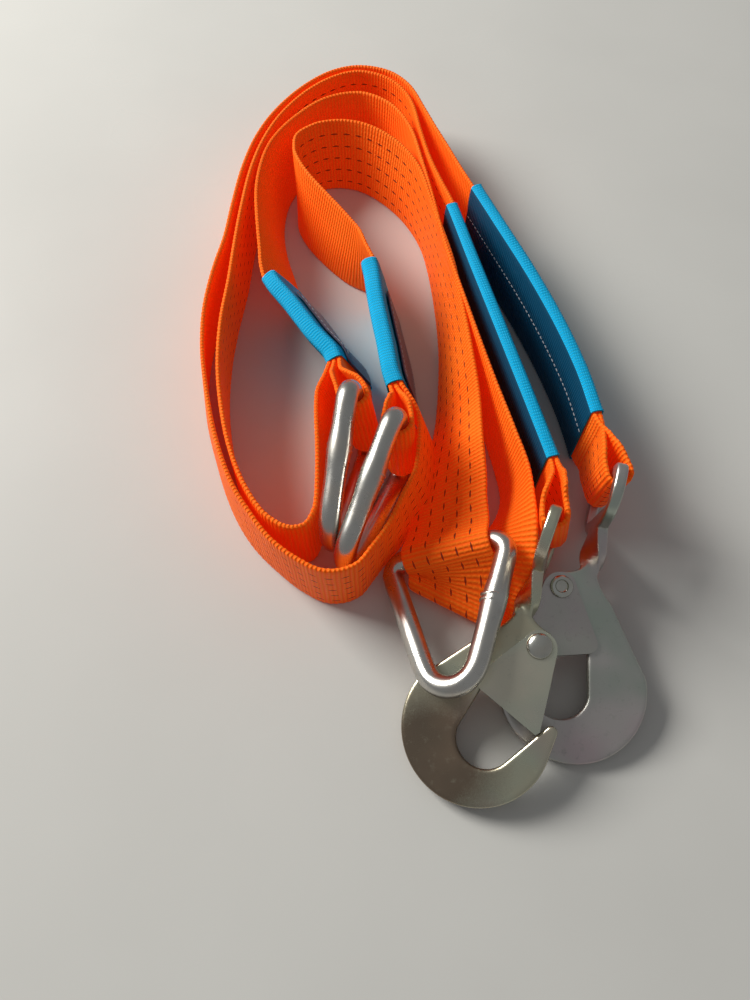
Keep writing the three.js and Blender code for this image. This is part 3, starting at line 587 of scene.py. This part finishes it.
def rows_of(node, count):
    """The sections of a ribbon (4 corners) or a rounded tube (32), from one end to the other."""
    mesh = bmesh.new()
    mesh.from_mesh(NODES[node].data)
    bmesh.ops.remove_doubles(mesh, verts=mesh.verts, dist=2e-5)
    mesh.verts.ensure_lookup_table()
    for vertex in mesh.verts:
        near = set().union(*reach([vertex], 2 + count // 4))
        for face in vertex.link_faces:
            corners = [v for v in near if abs((v.co - vertex.co).dot(face.normal)) < 1e-5]
            rows = reach(corners) if len(corners) == count else []
            if rows and all(len(row) == count for row in rows):
                places = [[v.co.copy() for v in row] for row in rows]
                mesh.free()
                return places
    raise RuntimeError(f"{node} isn't a plain ribbon or tube")


def sections_of(node, count=4, towards=None):
    """Centre and across direction of each section, starting at the end nearest to a point."""
    rows = rows_of(node, count)
    if towards is not None:
        first, last = (sum(rows[i], Vector()) / count for i in (0, -1))
        if (last - towards).length < (first - towards).length:
            rows.reverse()
    ordered = sorted(rows[0], key=lambda p: p.z)
    up = sum(ordered[count // 2:], Vector()) - sum(ordered[:count // 2], Vector())
    centres, across = [], []
    for row in rows:
        centre = sum(row, Vector()) / count
        if centres and (centre - centres[-1]).length < 0.0004:
            continue
        side = sum((p - centre if (p - centre).dot(up) > 0 else centre - p for p in row), Vector())
        up = side.normalized()
        centres.append(centre)
        across.append(up)
    return centres, across


def through(values, knots, i, t):
    """A smooth curve through values at their knots, t of the way from value i to the next."""
    last = len(values) - 1
    p1, p2 = values[i], values[i + 1]
    span = knots[i + 1] - knots[i]
    slope = (p2 - p1) / span
    m1 = m2 = slope
    if i:
        m1 = (p2 - values[i - 1]) / (knots[i + 1] - knots[i - 1])
    if i + 2 <= last:
        m2 = (values[i + 2] - p1) / (knots[i + 2] - knots[i])
    t2, t3 = t * t, t * t * t
    return ((2 * t3 - 3 * t2 + 1) * p1 + (t3 - 2 * t2 + t) * span * m1
            + (3 * t2 - 2 * t3) * p2 + (t3 - t2) * span * m2)


class Lane:
    """A ribbon's path: sections a step apart, with centre, across, normal and length so far."""

    def __init__(self, centres, across, step):
        knots = [0.0]
        for a, b in zip(centres, centres[1:]):
            knots.append(knots[-1] + (b - a).length)
        self.centres, self.across = [], []
        for i in range(len(centres) - 1):
            count = max(1, round((knots[i + 1] - knots[i]) / step))
            for j in range(count + (i == len(centres) - 2)):
                self.centres.append(through(centres, knots, i, j / count))
                self.across.append(through(across, knots, i, j / count))
        self.measure()

    def measure(self):
        """Finds the length so far and the normal at each section, and stretches slanting ones."""
        last = len(self.centres) - 1
        self.length, self.normal = [0.0], []
        for a, b in zip(self.centres, self.centres[1:]):
            self.length.append(self.length[-1] + (b - a).length)
        for i in range(last + 1):
            along = (self.centres[min(i + 1, last)] - self.centres[max(i - 1, 0)]).normalized()
            out = along.cross(self.across[i].normalized())
            self.normal.append(out.normalized())
            self.across[i] = self.across[i].normalized() / out.length


def swept(name, lane, loops, closed_ends=True):
    """A mesh from a closed cross-section carried along a lane.

    loops(i) gives the section's points at step i as (across, out) in metres, and the first call's
    walk round the points gives the second map coordinate."""
    mesh = bmesh.new()
    uv = mesh.loops.layers.uv.new("cloth")
    rings = []
    outline = loops(0)
    walk = [0.0]
    for k in range(len(outline)):
        a, b = outline[k], outline[(k + 1) % len(outline)]
        walk.append(walk[-1] + math.hypot(b[0] - a[0], b[1] - a[1]))
    for i in range(len(lane.centres)):
        centre, up, out = lane.centres[i], lane.across[i], lane.normal[i]
        rings.append([mesh.verts.new(centre + up * y + out * x) for y, x in loops(i)])
    count = len(outline)
    for i in range(len(rings) - 1):
        for k in range(count):
            n = (k + 1) % count
            face = mesh.faces.new((rings[i][k], rings[i][n], rings[i + 1][n], rings[i + 1][k]))
            face.smooth = True
            for loop, (s, v) in zip(face.loops, (
                    (lane.length[i], walk[k]), (lane.length[i], walk[k + 1]),
                    (lane.length[i + 1], walk[k + 1]), (lane.length[i + 1], walk[k]))):
                loop[uv].uv = (s, v)
    if closed_ends:
        for i, ring in ((0, rings[0]), (-1, rings[-1])):
            face = mesh.faces.new(ring if i else list(reversed(ring)))
            for loop in face.loops:
                k = ring.index(loop.vert)
                loop[uv].uv = (lane.length[i] + outline[k][1], walk[k])
    bmesh.ops.recalc_face_normals(mesh, faces=mesh.faces)
    data = bpy.data.meshes.new(name)
    mesh.to_mesh(data)
    mesh.free()
    piece = bpy.data.objects.new(name, data)
    bpy.context.scene.collection.objects.link(piece)
    return piece


def webbing_outline(width, thickness):
    """Half-round edges and flat faces, from the bottom of the first face round."""
    w, t = width / 2, thickness / 2
    face = [-0.966, -0.9, -0.6, -0.2, 0.2, 0.6, 0.9, 0.966]
    front = [(w * f, t * (0.9 if abs(f) > 0.95 else 1)) for f in face]
    back = [(-y, -x) for y, x in front]
    return front + [(w * 0.995, t * 0.5), (w * 0.995, -t * 0.5)] + back + [
        (-w * 0.995, -t * 0.5), (-w * 0.995, t * 0.5)]


def webbing(name, lane, sizes):
    """One layer of webbing: flat, with a twisted cord along each edge and slight waves."""
    outline = webbing_outline(sizes.webbing_width, sizes.webbing_thickness)
    edge = sizes.webbing_width * 0.48
    half = sizes.webbing_thickness / 2

    def section(i):
        s = lane.length[i]
        points = []
        for y, x in outline:
            if abs(y) > edge:
                angle = math.atan2(x / half, math.copysign(1, y) * (abs(y) - edge) / half)
                swell = 0.00016 * math.sin(TAU * s / sizes.edge_twist + angle)
                points.append((y + math.copysign(swell, y), x * (1 + swell / half)))
            else:
                points.append((y, x))
        return points

    return swept(name, lane, section)


def stitch_row(name, points, outs, material, body, length=0.0026, radius=0.00035):
    """A row of sewn stitches, one small capsule per stitch, laid along a line."""
    start_fresh()
    bpy.ops.mesh.primitive_uv_sphere_add(segments=8, ring_count=6, radius=radius)
    master = bpy.context.object
    master.scale = (1, 1, length / radius / 2)
    bpy.ops.object.transform_apply(location=False, rotation=False, scale=True)
    copies = []
    for i in range(len(points) - 1):
        travel = (points[i + 1] - points[i])
        middle = (points[i + 1] + points[i]) / 2
        turn = travel.normalized().to_track_quat("Z", "Y").to_matrix().to_4x4()
        piece = master.copy()
        piece.data = master.data.copy()
        piece.data.transform(Matrix.Translation(middle + outs[i] * radius * 0.35) @ turn)
        bpy.context.scene.collection.objects.link(piece)
        copies.append(piece)
    bpy.data.objects.remove(master)
    row = joined(name, copies)
    smooth(row, 60)
    place(row, None, body, material)
    return row


LANES = {}


class OBJECT_OT_strap_webbing(bpy.types.Operator):
    """Makes the continuous strap and the two ring eyes from webbing"""
    bl_idname = "object.strap_webbing"
    bl_label = "Webbing"

    def execute(self, context):
        sizes = context.scene.strap_sizes
        low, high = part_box("hook_a")
        centres, across = sections_of("webbing_strap", 4, (Vector(low) + Vector(high)) / 2)
        strap = Lane(centres, across, sizes.webbing_step)
        piece = webbing("Winch_webbing", strap, sizes)
        place(piece, "webbing_strap", "strap", finishes()["webbing"])
        for number in (1, 2):
            centres, across = sections_of(f"ring_eye_{number}")
            lane = Lane(centres, across, sizes.webbing_step)
            eye = webbing(f"Ring_eye_webbing_{number}", lane, sizes)
            place(eye, f"ring_eye_{number}", "strap", finishes()["plain_webbing"])
        return {"FINISHED"}


def sleeve_outline(inside, wall, width):
    """The sleeve's outer loop: flat sides with full round edges."""
    points = []
    half_t = inside / 2 + wall
    half_w = width / 2 + 0.0005 + wall
    round_out = half_t * 1.0
    for k in range(36):
        angle = TAU * k / 36
        c, s = math.cos(angle), math.sin(angle)
        y = (half_w - round_out) * max(-1, min(1, s * 1.6)) + round_out * s
        x = half_t * math.copysign(abs(c) ** 0.7, c)
        points.append((y, x))
    return points


class OBJECT_OT_strap_sleeves(bpy.types.Operator):
    """Makes the four blue wear sleeves and their seam"""
    bl_idname = "object.strap_sleeves"
    bl_label = "Sleeves"

    def execute(self, context):
        sizes = context.scene.strap_sizes
        for name, inside in SLEEVE_INSIDES.items():
            centres, across = sections_of(name, 32, COIL_FRONT)
            lane = Lane(centres, across, 0.00048)
            LANES[name] = lane
            piece = self.tube(name, lane, inside * MM, sizes)
            finish = finishes()["long_sleeve" if name.startswith("long") else "sleeve"]
            place(piece, name, "strap", finish)
        self.seam(sizes)
        return {"FINISHED"}

    def tube(self, node, lane, inside, sizes):
        outer = sleeve_outline(inside, sizes.sleeve_wall, sizes.webbing_width)
        half = inside / 2 + sizes.sleeve_wall
        rng = random.Random(node)
        frays = [rng.uniform(0.0, 1.0) for _ in outer]

        def section(i):
            s = lane.length[i]
            flare = FRAY * math.exp(-min(s, lane.length[-1] - s) / 0.002)
            points = []
            for (y, x), fray in zip(outer, frays):
                rib = RIB_HEIGHT * (math.sin(TAU * (s + y * 0.35) / sizes.sleeve_rib) - 1)
                swell = rib + flare * fray
                tall = 1 + swell / math.hypot(y, x) if abs(y) > 0.02 else 1
                points.append((y * tall, x * (1 + swell / half)))
            return points

        piece = swept(node.capitalize() + "_cloth", lane, section, closed_ends=False)
        return self.hollowed(piece, lane, outer, inside)

    def hollowed(self, piece, lane, outer, inside):
        """Adds the inner wall and the two open ends."""
        mesh = bmesh.new()
        mesh.from_mesh(piece.data)
        uv = mesh.loops.layers.uv["cloth"]
        mesh.verts.ensure_lookup_table()
        count = len(outer)
        total = len(lane.centres)
        half = inside / 2
        inner = [(y * 0.955, math.copysign(min(abs(x), half * 0.98), x)) for y, x in outer]
        steps = sorted({*range(0, total, 12), total - 1})
        rings = []
        for i in steps:
            rings.append([mesh.verts.new(lane.centres[i] + lane.across[i] * y + lane.normal[i] * x)
                          for y, x in inner])
        mesh.verts.ensure_lookup_table()
        first = [mesh.verts[k] for k in range(count)]
        last = [mesh.verts[(total - 1) * count + k] for k in range(count)]
        strips = [(rings[j], rings[j + 1]) for j in range(len(rings) - 1)]
        strips += [(first, rings[0]), (rings[-1], last)]
        for a, b in strips:
            for k in range(count):
                n = (k + 1) % count
                face = mesh.faces.new((a[n], a[k], b[k], b[n]))
                face.smooth = True
                for loop in face.loops:
                    loop[uv].uv = (0.0003 * (k % 2), 0.0011 * k)
        bmesh.ops.recalc_face_normals(mesh, faces=mesh.faces)
        mesh.to_mesh(piece.data)
        mesh.free()
        return piece

    def seam(self, sizes):
        """A pale seam runs down the inner face of the outer long sleeve."""
        lane = LANES["long_sleeve_b"]
        gap = sizes.stitch_length
        out = SLEEVE_INSIDES["long_sleeve_b"] * MM / 2 + sizes.sleeve_wall
        points, outs = [], []
        reach = 0.0
        for i, s in enumerate(lane.length):
            if s >= reach:
                reach += gap
                points.append(lane.centres[i] + lane.across[i] * 0.004 - lane.normal[i] * out)
                outs.append(-lane.normal[i])
        stitch_row("Sleeve_seam", points, outs, finishes()["thread"], "strap")


class OBJECT_OT_strap_tags(bpy.types.Operator):
    """Makes the two blank tags and the stitches round them"""
    bl_idname = "object.strap_tags"
    bl_label = "Tags"

    def execute(self, context):
        sizes = context.scene.strap_sizes
        for number in (1, 2):
            centres, across = sections_of(f"tag_{number}")
            lane = Lane(centres, across, 0.0012)
            half_w = sizes.tag_height / 2
            outline = [(y * half_w, x * 0.0005) for y, x in (
                (-0.97, 1), (-0.5, 1), (0, 1), (0.5, 1), (0.97, 1), (1, 0.3), (1, -0.3),
                (0.97, -1), (0.5, -1), (0, -1), (-0.5, -1), (-0.97, -1), (-1, -0.3), (-1, 0.3))]
            total = lane.length[-1]

            def section(i):
                s = lane.length[i]
                end = min(s, total - s)
                trim = 1 - 0.1 * max(0.0, 1 - end / 0.004) ** 2
                return [(y * trim, x) for y, x in outline]

            piece = swept(f"Tag_{number}_cloth", lane, section)
            place(piece, f"tag_{number}", "strap", finishes()["tag"])
            self.stitches(number, lane, sizes)
        return {"FINISHED"}

    def stitches(self, number, lane, sizes):
        """Pale stitches near the tag's edges, on its outer face."""
        sleeve = LANES[f"short_sleeve_{number}"]
        middle = sum(sleeve.centres, Vector()) / len(sleeve.centres)
        half = sizes.tag_height / 2 - 0.003
        for label, height in (("top", half), ("bottom", -half)):
            points, outs, reach = [], [], 0.003
            for i, s in enumerate(lane.length):
                if s >= reach and s < lane.length[-1] - 0.003:
                    reach += sizes.stitch_length
                    side = lane.normal[i]
                    if side.dot(lane.centres[i] - middle) < 0:
                        side = -side
                    points.append(lane.centres[i] + lane.across[i] * height + side * 0.0005)
                    outs.append(side)
            stitch_row(f"Tag_{number}_stitches_{label}", points, outs, finishes()["thread"],
                       "strap")


# Rings

def direction(tilt, heading):
    level = math.sin(math.radians(tilt))
    return Vector((level * math.cos(math.radians(heading)),
                   level * math.sin(math.radians(heading)), math.cos(math.radians(tilt))))


def ring_frame(name):
    """A ring's own frame: x along its base bar, y towards its tip."""
    middle, bar, tip = RING_PLACES[name]
    middle, tip = Vector(middle) * MM + SHIFT, Vector(tip) * MM + SHIFT
    bar = direction(*bar)
    along = tip - middle
    along = (along - bar * along.dot(bar)).normalized()
    out = bar.cross(along)
    matrix = Matrix((bar, along, out)).transposed().to_4x4()
    matrix.translation = middle
    return matrix


def copied(node, name):
    """A merged copy of a CAD node's mesh as a new object."""
    piece = NODES[node].copy()
    piece.data = NODES[node].data.copy()
    piece.parent = None
    for key in list(piece.keys()):
        if key.startswith("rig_"):
            del piece[key]
    piece.name = name
    piece.data.name = name
    bpy.context.scene.collection.objects.link(piece)
    choose(piece)
    bpy.ops.object.mode_set(mode="EDIT")
    bpy.ops.mesh.select_all(action="SELECT")
    bpy.ops.mesh.remove_doubles(threshold=2e-5)
    bpy.ops.mesh.tris_convert_to_quads(face_threshold=0.7, shape_threshold=1.2)
    bpy.ops.object.mode_set(mode="OBJECT")
    return piece


class OBJECT_OT_strap_rings(bpy.types.Operator):
    """Makes the three bent wire rings with their weld beads"""
    bl_idname = "object.strap_rings"
    bl_label = "Rings"

    def execute(self, context):
        for name in RING_PLACES:
            wire = copied(name, name.capitalize() + "_wire")
            round_off = wire.modifiers.new("Round", "SUBSURF")
            round_off.levels = round_off.render_levels = 2
            finish_modifiers(wire)
            self.fill_out(wire)
            piece = joined(name.capitalize() + "_wire", [wire, self.weld(ring_frame(name))])
            smooth(piece, 60)
            body = "ring_3" if name == "ring_3" else "strap"
            place(piece, name, body, finishes()["ring"])
        return {"FINISHED"}

    def fill_out(self, wire):
        """Brings the rounded wire back to its full thickness."""
        lost = 0.00018
        for vertex in wire.data.vertices:
            vertex.co += vertex.normal * lost

    def weld(self, matrix):
        """The flattened flash of the butt weld, two uneven ridges round the wire."""
        beads = []
        rng = random.Random(5)
        for offset, radius in ((-0.0016, 0.0069), (0.0013, 0.00675)):
            start_fresh()
            bpy.ops.mesh.primitive_torus_add(
                major_segments=40, minor_segments=8, major_radius=radius - 0.0007,
                minor_radius=0.0009)
            bead = bpy.context.object
            for vertex in bead.data.vertices:
                angle = math.atan2(vertex.co.y, vertex.co.x)
                wave = 0.0002 * math.sin(3 * angle + offset * 900) + rng.uniform(-4e-5, 4e-5)
                vertex.co.z += offset + wave
            beads.append(bead)
        bead = joined("Weld", beads)
        turn = RING_LEG.to_track_quat("Z", "Y").to_matrix().to_4x4()
        settle(bead, matrix @ Matrix.Translation(WELD_PLACE) @ turn)
        return bead


# Hooks

def hook_frame(letter):
    place_at, yaw, pitch, roll, turned = HOOK_PLACES[letter]
    matrix = Matrix.Rotation(math.radians(-yaw), 4, "Z")
    matrix = matrix @ Matrix.Rotation(math.radians(pitch), 4, "X")
    matrix = matrix @ Matrix.Rotation(math.radians(roll), 4, "Y")
    if turned:
        matrix = matrix @ Matrix.Rotation(math.pi, 4, "Y")
    return Matrix.Translation(Vector(place_at) * MM + SHIFT) @ matrix


def arc(cx, cy, radius, start, end, steps):
    """Points of an arc in millimetres, from one angle to another in degrees."""
    return [(cx + radius * math.cos(math.radians(start + (end - start) * i / steps)),
             cy + radius * math.sin(math.radians(start + (end - start) * i / steps)))
            for i in range(steps + 1)]


def bow(start, pull, end, steps=10):
    """Points of a quadratic curve, without its first point."""
    points = []
    for i in range(1, steps + 1):
        t = i / steps
        points.append(tuple((1 - t) ** 2 * a + 2 * t * (1 - t) * b + t * t * c
                            for a, b, c in zip(start, pull, end)))
    return points


def cut_plate(name, outline, thickness):
    """A flat plate from an outline in millimetres, extruded both ways."""
    start_fresh()
    bpy.ops.mesh.primitive_circle_add(vertices=len(outline), radius=1, fill_type="NGON")
    piece = bpy.context.object
    piece.name = name
    for vertex, (x, y) in zip(piece.data.vertices, outline):
        vertex.co = (x * MM, y * MM, -thickness / 2)
    choose(piece)
    bpy.ops.object.mode_set(mode="EDIT")
    bpy.ops.mesh.select_all(action="SELECT")
    bpy.ops.mesh.extrude_region_move(TRANSFORM_OT_translate={"value": (0, 0, thickness)})
    bpy.ops.mesh.select_all(action="SELECT")
    bpy.ops.mesh.normals_make_consistent(inside=False)
    bpy.ops.object.mode_set(mode="OBJECT")
    return piece


def hook_outline():
    """The plate's outline: down the spine, round the curved end, up the mouth and the throat."""
    points = [(-3, 102)]
    points += bow((-3, 102), (-4, 92), (-14, 84))
    points += [(-31, 61)]
    points += arc(-3.5, 37.5, 37.5, 158, 354, 72)
    points += arc(31.2, 49, 3.1, -8, 150, 14)
    points += arc(2.5, 34.5, 14.5, -30, -180, 44)
    points += [(-7.5, 56)]
    points += bow((-7.5, 56), (-5, 74), (6, 75.5), 14)
    points += [(15, 76)]
    points += arc(9.5, 86, 10.5, -52, 50, 14)
    points += bow((16.25, 94.04), (5, 96), (3, 102))
    return points


class OBJECT_OT_strap_hooks(bpy.types.Operator):
    """Makes the two flat snap hooks with their twisted necks and slot eyes"""
    bl_idname = "object.strap_hooks"
    bl_label = "Hooks"

    def execute(self, context):
        for letter, body in (("a", "strap"), ("b", "hook_b")):
            plate = self.plate()
            parts = [plate, self.neck(), self.eye()]
            hook = joined(f"Hook_{letter}_forging", parts)
            remesh = hook.modifiers.new("Forge", "REMESH")
            remesh.mode = "VOXEL"
            remesh.voxel_size = 0.00062
            finish_modifiers(hook)
            ease = hook.modifiers.new("Ease", "SMOOTH")
            ease.factor = 0.5
            ease.iterations = 3
            finish_modifiers(hook)
            settle(hook, hook_frame(letter))
            smooth(hook, 60)
            place(hook, f"hook_{letter}", body, finishes()[f"hook_{letter}"])
        return {"FINISHED"}

    def plate(self):
        plate = cut_plate("Plate", hook_outline(), HOOK_PLATE * MM)
        bevelled(plate, 0.0017, 3, 50)
        finish_modifiers(plate)
        start_fresh()
        bpy.ops.mesh.primitive_cylinder_add(
            vertices=48, radius=0.0038, depth=0.03, location=RIVET_PLACE)
        pierced(plate, bpy.context.object)
        return plate

    def neck(self):
        """A bar that turns through a quarter between plate and eye."""
        start_fresh()
        bpy.ops.mesh.primitive_cube_add(size=1)
        bar = bpy.context.object
        choose(bar)
        bpy.ops.object.mode_set(mode="EDIT")
        bpy.ops.mesh.select_all(action="SELECT")
        bpy.ops.mesh.subdivide(number_cuts=15)
        bpy.ops.object.mode_set(mode="OBJECT")
        for vertex in bar.data.vertices:
            t = vertex.co.y + 0.5
            angle = math.pi / 2 * (1 - (1 - t) ** 2)
            x, z = vertex.co.x * (NECK_ROOT + NECK_SPREAD * t), vertex.co.z * HOOK_PLATE
            vertex.co = Vector((x * math.cos(angle) - z * math.sin(angle),
                                NECK_START + NECK_LENGTH * t,
                                x * math.sin(angle) + z * math.cos(angle))) * MM
        return bar

    def eye(self):
        """The slot eye, square to the plate: a stadium frame of flat bar."""
        outside = [(-11, 121), (11, 121)]
        outside += bow((11, 121), (29.5, 123), (33.5, 138), 14)
        outside += [(33.5, 144)]
        outside += bow((33.5, 144), (33.5, 152), (25.5, 152), 10)
        outside += [(-25.5, 152)]
        outside += bow((-25.5, 152), (-33.5, 152), (-33.5, 144), 10)
        outside += [(-33.5, 138)]
        outside += bow((-33.5, 138), (-29.5, 123), (-11, 121), 14)[:-1]
        body = cut_plate("Eye", outside, HOOK_PLATE * MM)
        slot_outline = (arc(-23.5, 133, 3, 180, 270, 6) + arc(23.5, 133, 3, 270, 360, 6)
                        + arc(23.5, 142, 3, 0, 90, 6) + arc(-23.5, 142, 3, 90, 180, 6))
        pierced(body, cut_plate("Slot", slot_outline, 0.02))
        bevelled(body, 0.0012, 3, 50)
        finish_modifiers(body)
        body.data.transform(Matrix.Rotation(math.pi / 2, 4, "Y"))
        return body


class OBJECT_OT_strap_latches(bpy.types.Operator):
    """Makes the folded latches, their springs and rivets"""
    bl_idname = "object.strap_latches"
    bl_label = "Latches"

    def execute(self, context):
        for letter, body in (("a", "strap"), ("b", "hook_b")):
            latch = copied(f"latch_{letter}", f"Latch_{letter}_sheet")
            bevelled(latch, 0.0004, 2, 40)
            smooth(latch, 40)
            even = latch.modifiers.new("Even", "WEIGHTED_NORMAL")
            even.keep_sharp = True
            finish_modifiers(latch)
            place(latch, f"latch_{letter}", f"latch_{letter}",
                  finishes()[f"latch_{letter}"])
            spring = copied(f"latch_spring_{letter}", f"Latch_{letter}_spring")
            smooth(spring, 60)
            place(spring, f"latch_spring_{letter}", f"latch_{letter}",
                  finishes()["rivet"])
            rivet = self.rivet(letter)
            place(rivet, f"latch_rivet_{letter}", body, finishes()["rivet"])
        return {"FINISHED"}

    def rivet(self, letter):
        """A turned profile spun round: dished head on one side, clenched tail on the other."""
        seat = RIVET_SEAT
        profile = [(0, -seat - 0.5), (2.6, -seat - 0.5), (3.1, -seat - 0.8), (3.5, -seat - 1.5),
                   (4.6, -seat - 1.6), (5.6, -seat - 1.2), (6, -seat - 0.5), (6, -seat),
                   (3.5, -seat), (3.5, seat), (6.5, seat), (6.5, seat + 0.5),
                   (6.1, seat + 1.2), (5.2, seat + 1.8), (3.8, seat + 2.25), (2, seat + 2.5),
                   (0, seat + 2.6)]
        start_fresh()
        bpy.ops.mesh.primitive_plane_add(size=1)
        piece = bpy.context.object
        piece.name = f"Rivet_{letter}_turned"
        mesh = bmesh.new()
        line = [mesh.verts.new((r * MM, 0, z * MM)) for r, z in profile]
        for a, b in zip(line, line[1:]):
            mesh.edges.new((a, b))
        mesh.to_mesh(piece.data)
        mesh.free()
        choose(piece)
        bpy.ops.object.mode_set(mode="EDIT")
        bpy.ops.mesh.select_all(action="SELECT")
        bpy.ops.mesh.spin(steps=40, angle=TAU, center=(0, 0, 0), axis=(0, 0, 1))
        bpy.ops.mesh.select_all(action="SELECT")
        bpy.ops.mesh.remove_doubles(threshold=1e-6)
        bpy.ops.mesh.normals_make_consistent(inside=False)
        bpy.ops.object.mode_set(mode="OBJECT")
        settle(piece, hook_frame(letter) @ Matrix.Translation(RIVET_PLACE))
        smooth(piece, 40)
        return piece


class OBJECT_OT_strap_stage(bpy.types.Operator):
    """Makes the table, the lights and the camera"""
    bl_idname = "object.strap_stage"
    bl_label = "Stage"

    def execute(self, context):
        start_fresh()
        bpy.ops.mesh.primitive_plane_add(size=6, location=(0, 0, 0))
        table = bpy.context.object
        table.name = "Table_top"
        table.data.materials.append(table_material(context.scene.strap_colours))
        self.light("Window", (-1.55, 0.85, 1.25), 1.0, 60, (1.0, 0.99, 0.95))
        world = bpy.data.worlds.new("Soft room")
        world.use_nodes = True
        world.node_tree.nodes["Background"].inputs[0].default_value = (0.86, 0.88, 0.9, 1)
        world.node_tree.nodes["Background"].inputs[1].default_value = 0.26
        context.scene.world = world
        context.scene.view_settings.view_transform = "Standard"
        lens = bpy.data.cameras.new("Camera")
        lens.sensor_fit = "AUTO"
        lens.sensor_width = 36
        lens.lens = 27.04
        lens.clip_start = 0.02
        camera = bpy.data.objects.new("Camera", lens)
        camera.location = Vector((0, 0, 400)) * MM + SHIFT
        camera.rotation_euler = (math.radians(26), 0, 0)
        context.scene.collection.objects.link(camera)
        context.scene.camera = camera
        return {"FINISHED"}

    def light(self, name, location, size, power, colour):
        lamp = bpy.data.lights.new(name, "AREA")
        lamp.shape = "SQUARE"
        lamp.size = size
        lamp.energy = power
        lamp.color = colour
        piece = bpy.data.objects.new(name, lamp)
        piece.location = location
        aim = Vector((0, 0, 0)) - Vector(location)
        piece.rotation_euler = aim.to_track_quat("-Z", "Y").to_euler()
        bpy.context.scene.collection.objects.link(piece)


class VIEW3D_PT_winch_strap(bpy.types.Panel):
    """Lists the strap's sizes, colours and steps"""
    bl_label = "Winch Strap"
    bl_idname = "VIEW3D_PT_winch_strap"
    bl_space_type = "VIEW_3D"
    bl_region_type = "UI"
    bl_category = "Winch Strap"

    def draw(self, context):
        for group in (context.scene.strap_sizes, context.scene.strap_colours):
            box = self.layout.box()
            for key in group.__annotations__:
                box.prop(group, key)
        for operator in STEPS:
            self.layout.operator(operator.bl_idname)


STEPS = (OBJECT_OT_strap_stage, OBJECT_OT_strap_webbing, OBJECT_OT_strap_sleeves,
         OBJECT_OT_strap_tags, OBJECT_OT_strap_rings, OBJECT_OT_strap_hooks,
         OBJECT_OT_strap_latches)
CLASSES = (StrapSizes, StrapColours, *STEPS, VIEW3D_PT_winch_strap)


def register():
    for item in CLASSES:
        bpy.utils.register_class(item)
    bpy.types.Scene.strap_sizes = bpy.props.PointerProperty(type=StrapSizes)
    bpy.types.Scene.strap_colours = bpy.props.PointerProperty(type=StrapColours)


def unregister():
    del bpy.types.Scene.strap_colours
    del bpy.types.Scene.strap_sizes
    for item in reversed(CLASSES):
        bpy.utils.unregister_class(item)


def main():
    register()
    bpy.ops.object.strap_stage()
    bpy.ops.object.strap_webbing()
    bpy.ops.object.strap_sleeves()
    bpy.ops.object.strap_tags()
    bpy.ops.object.strap_rings()
    bpy.ops.object.strap_hooks()
    bpy.ops.object.strap_latches()
    bpy.context.view_layer.update()


if __name__ == "__main__":
    main()
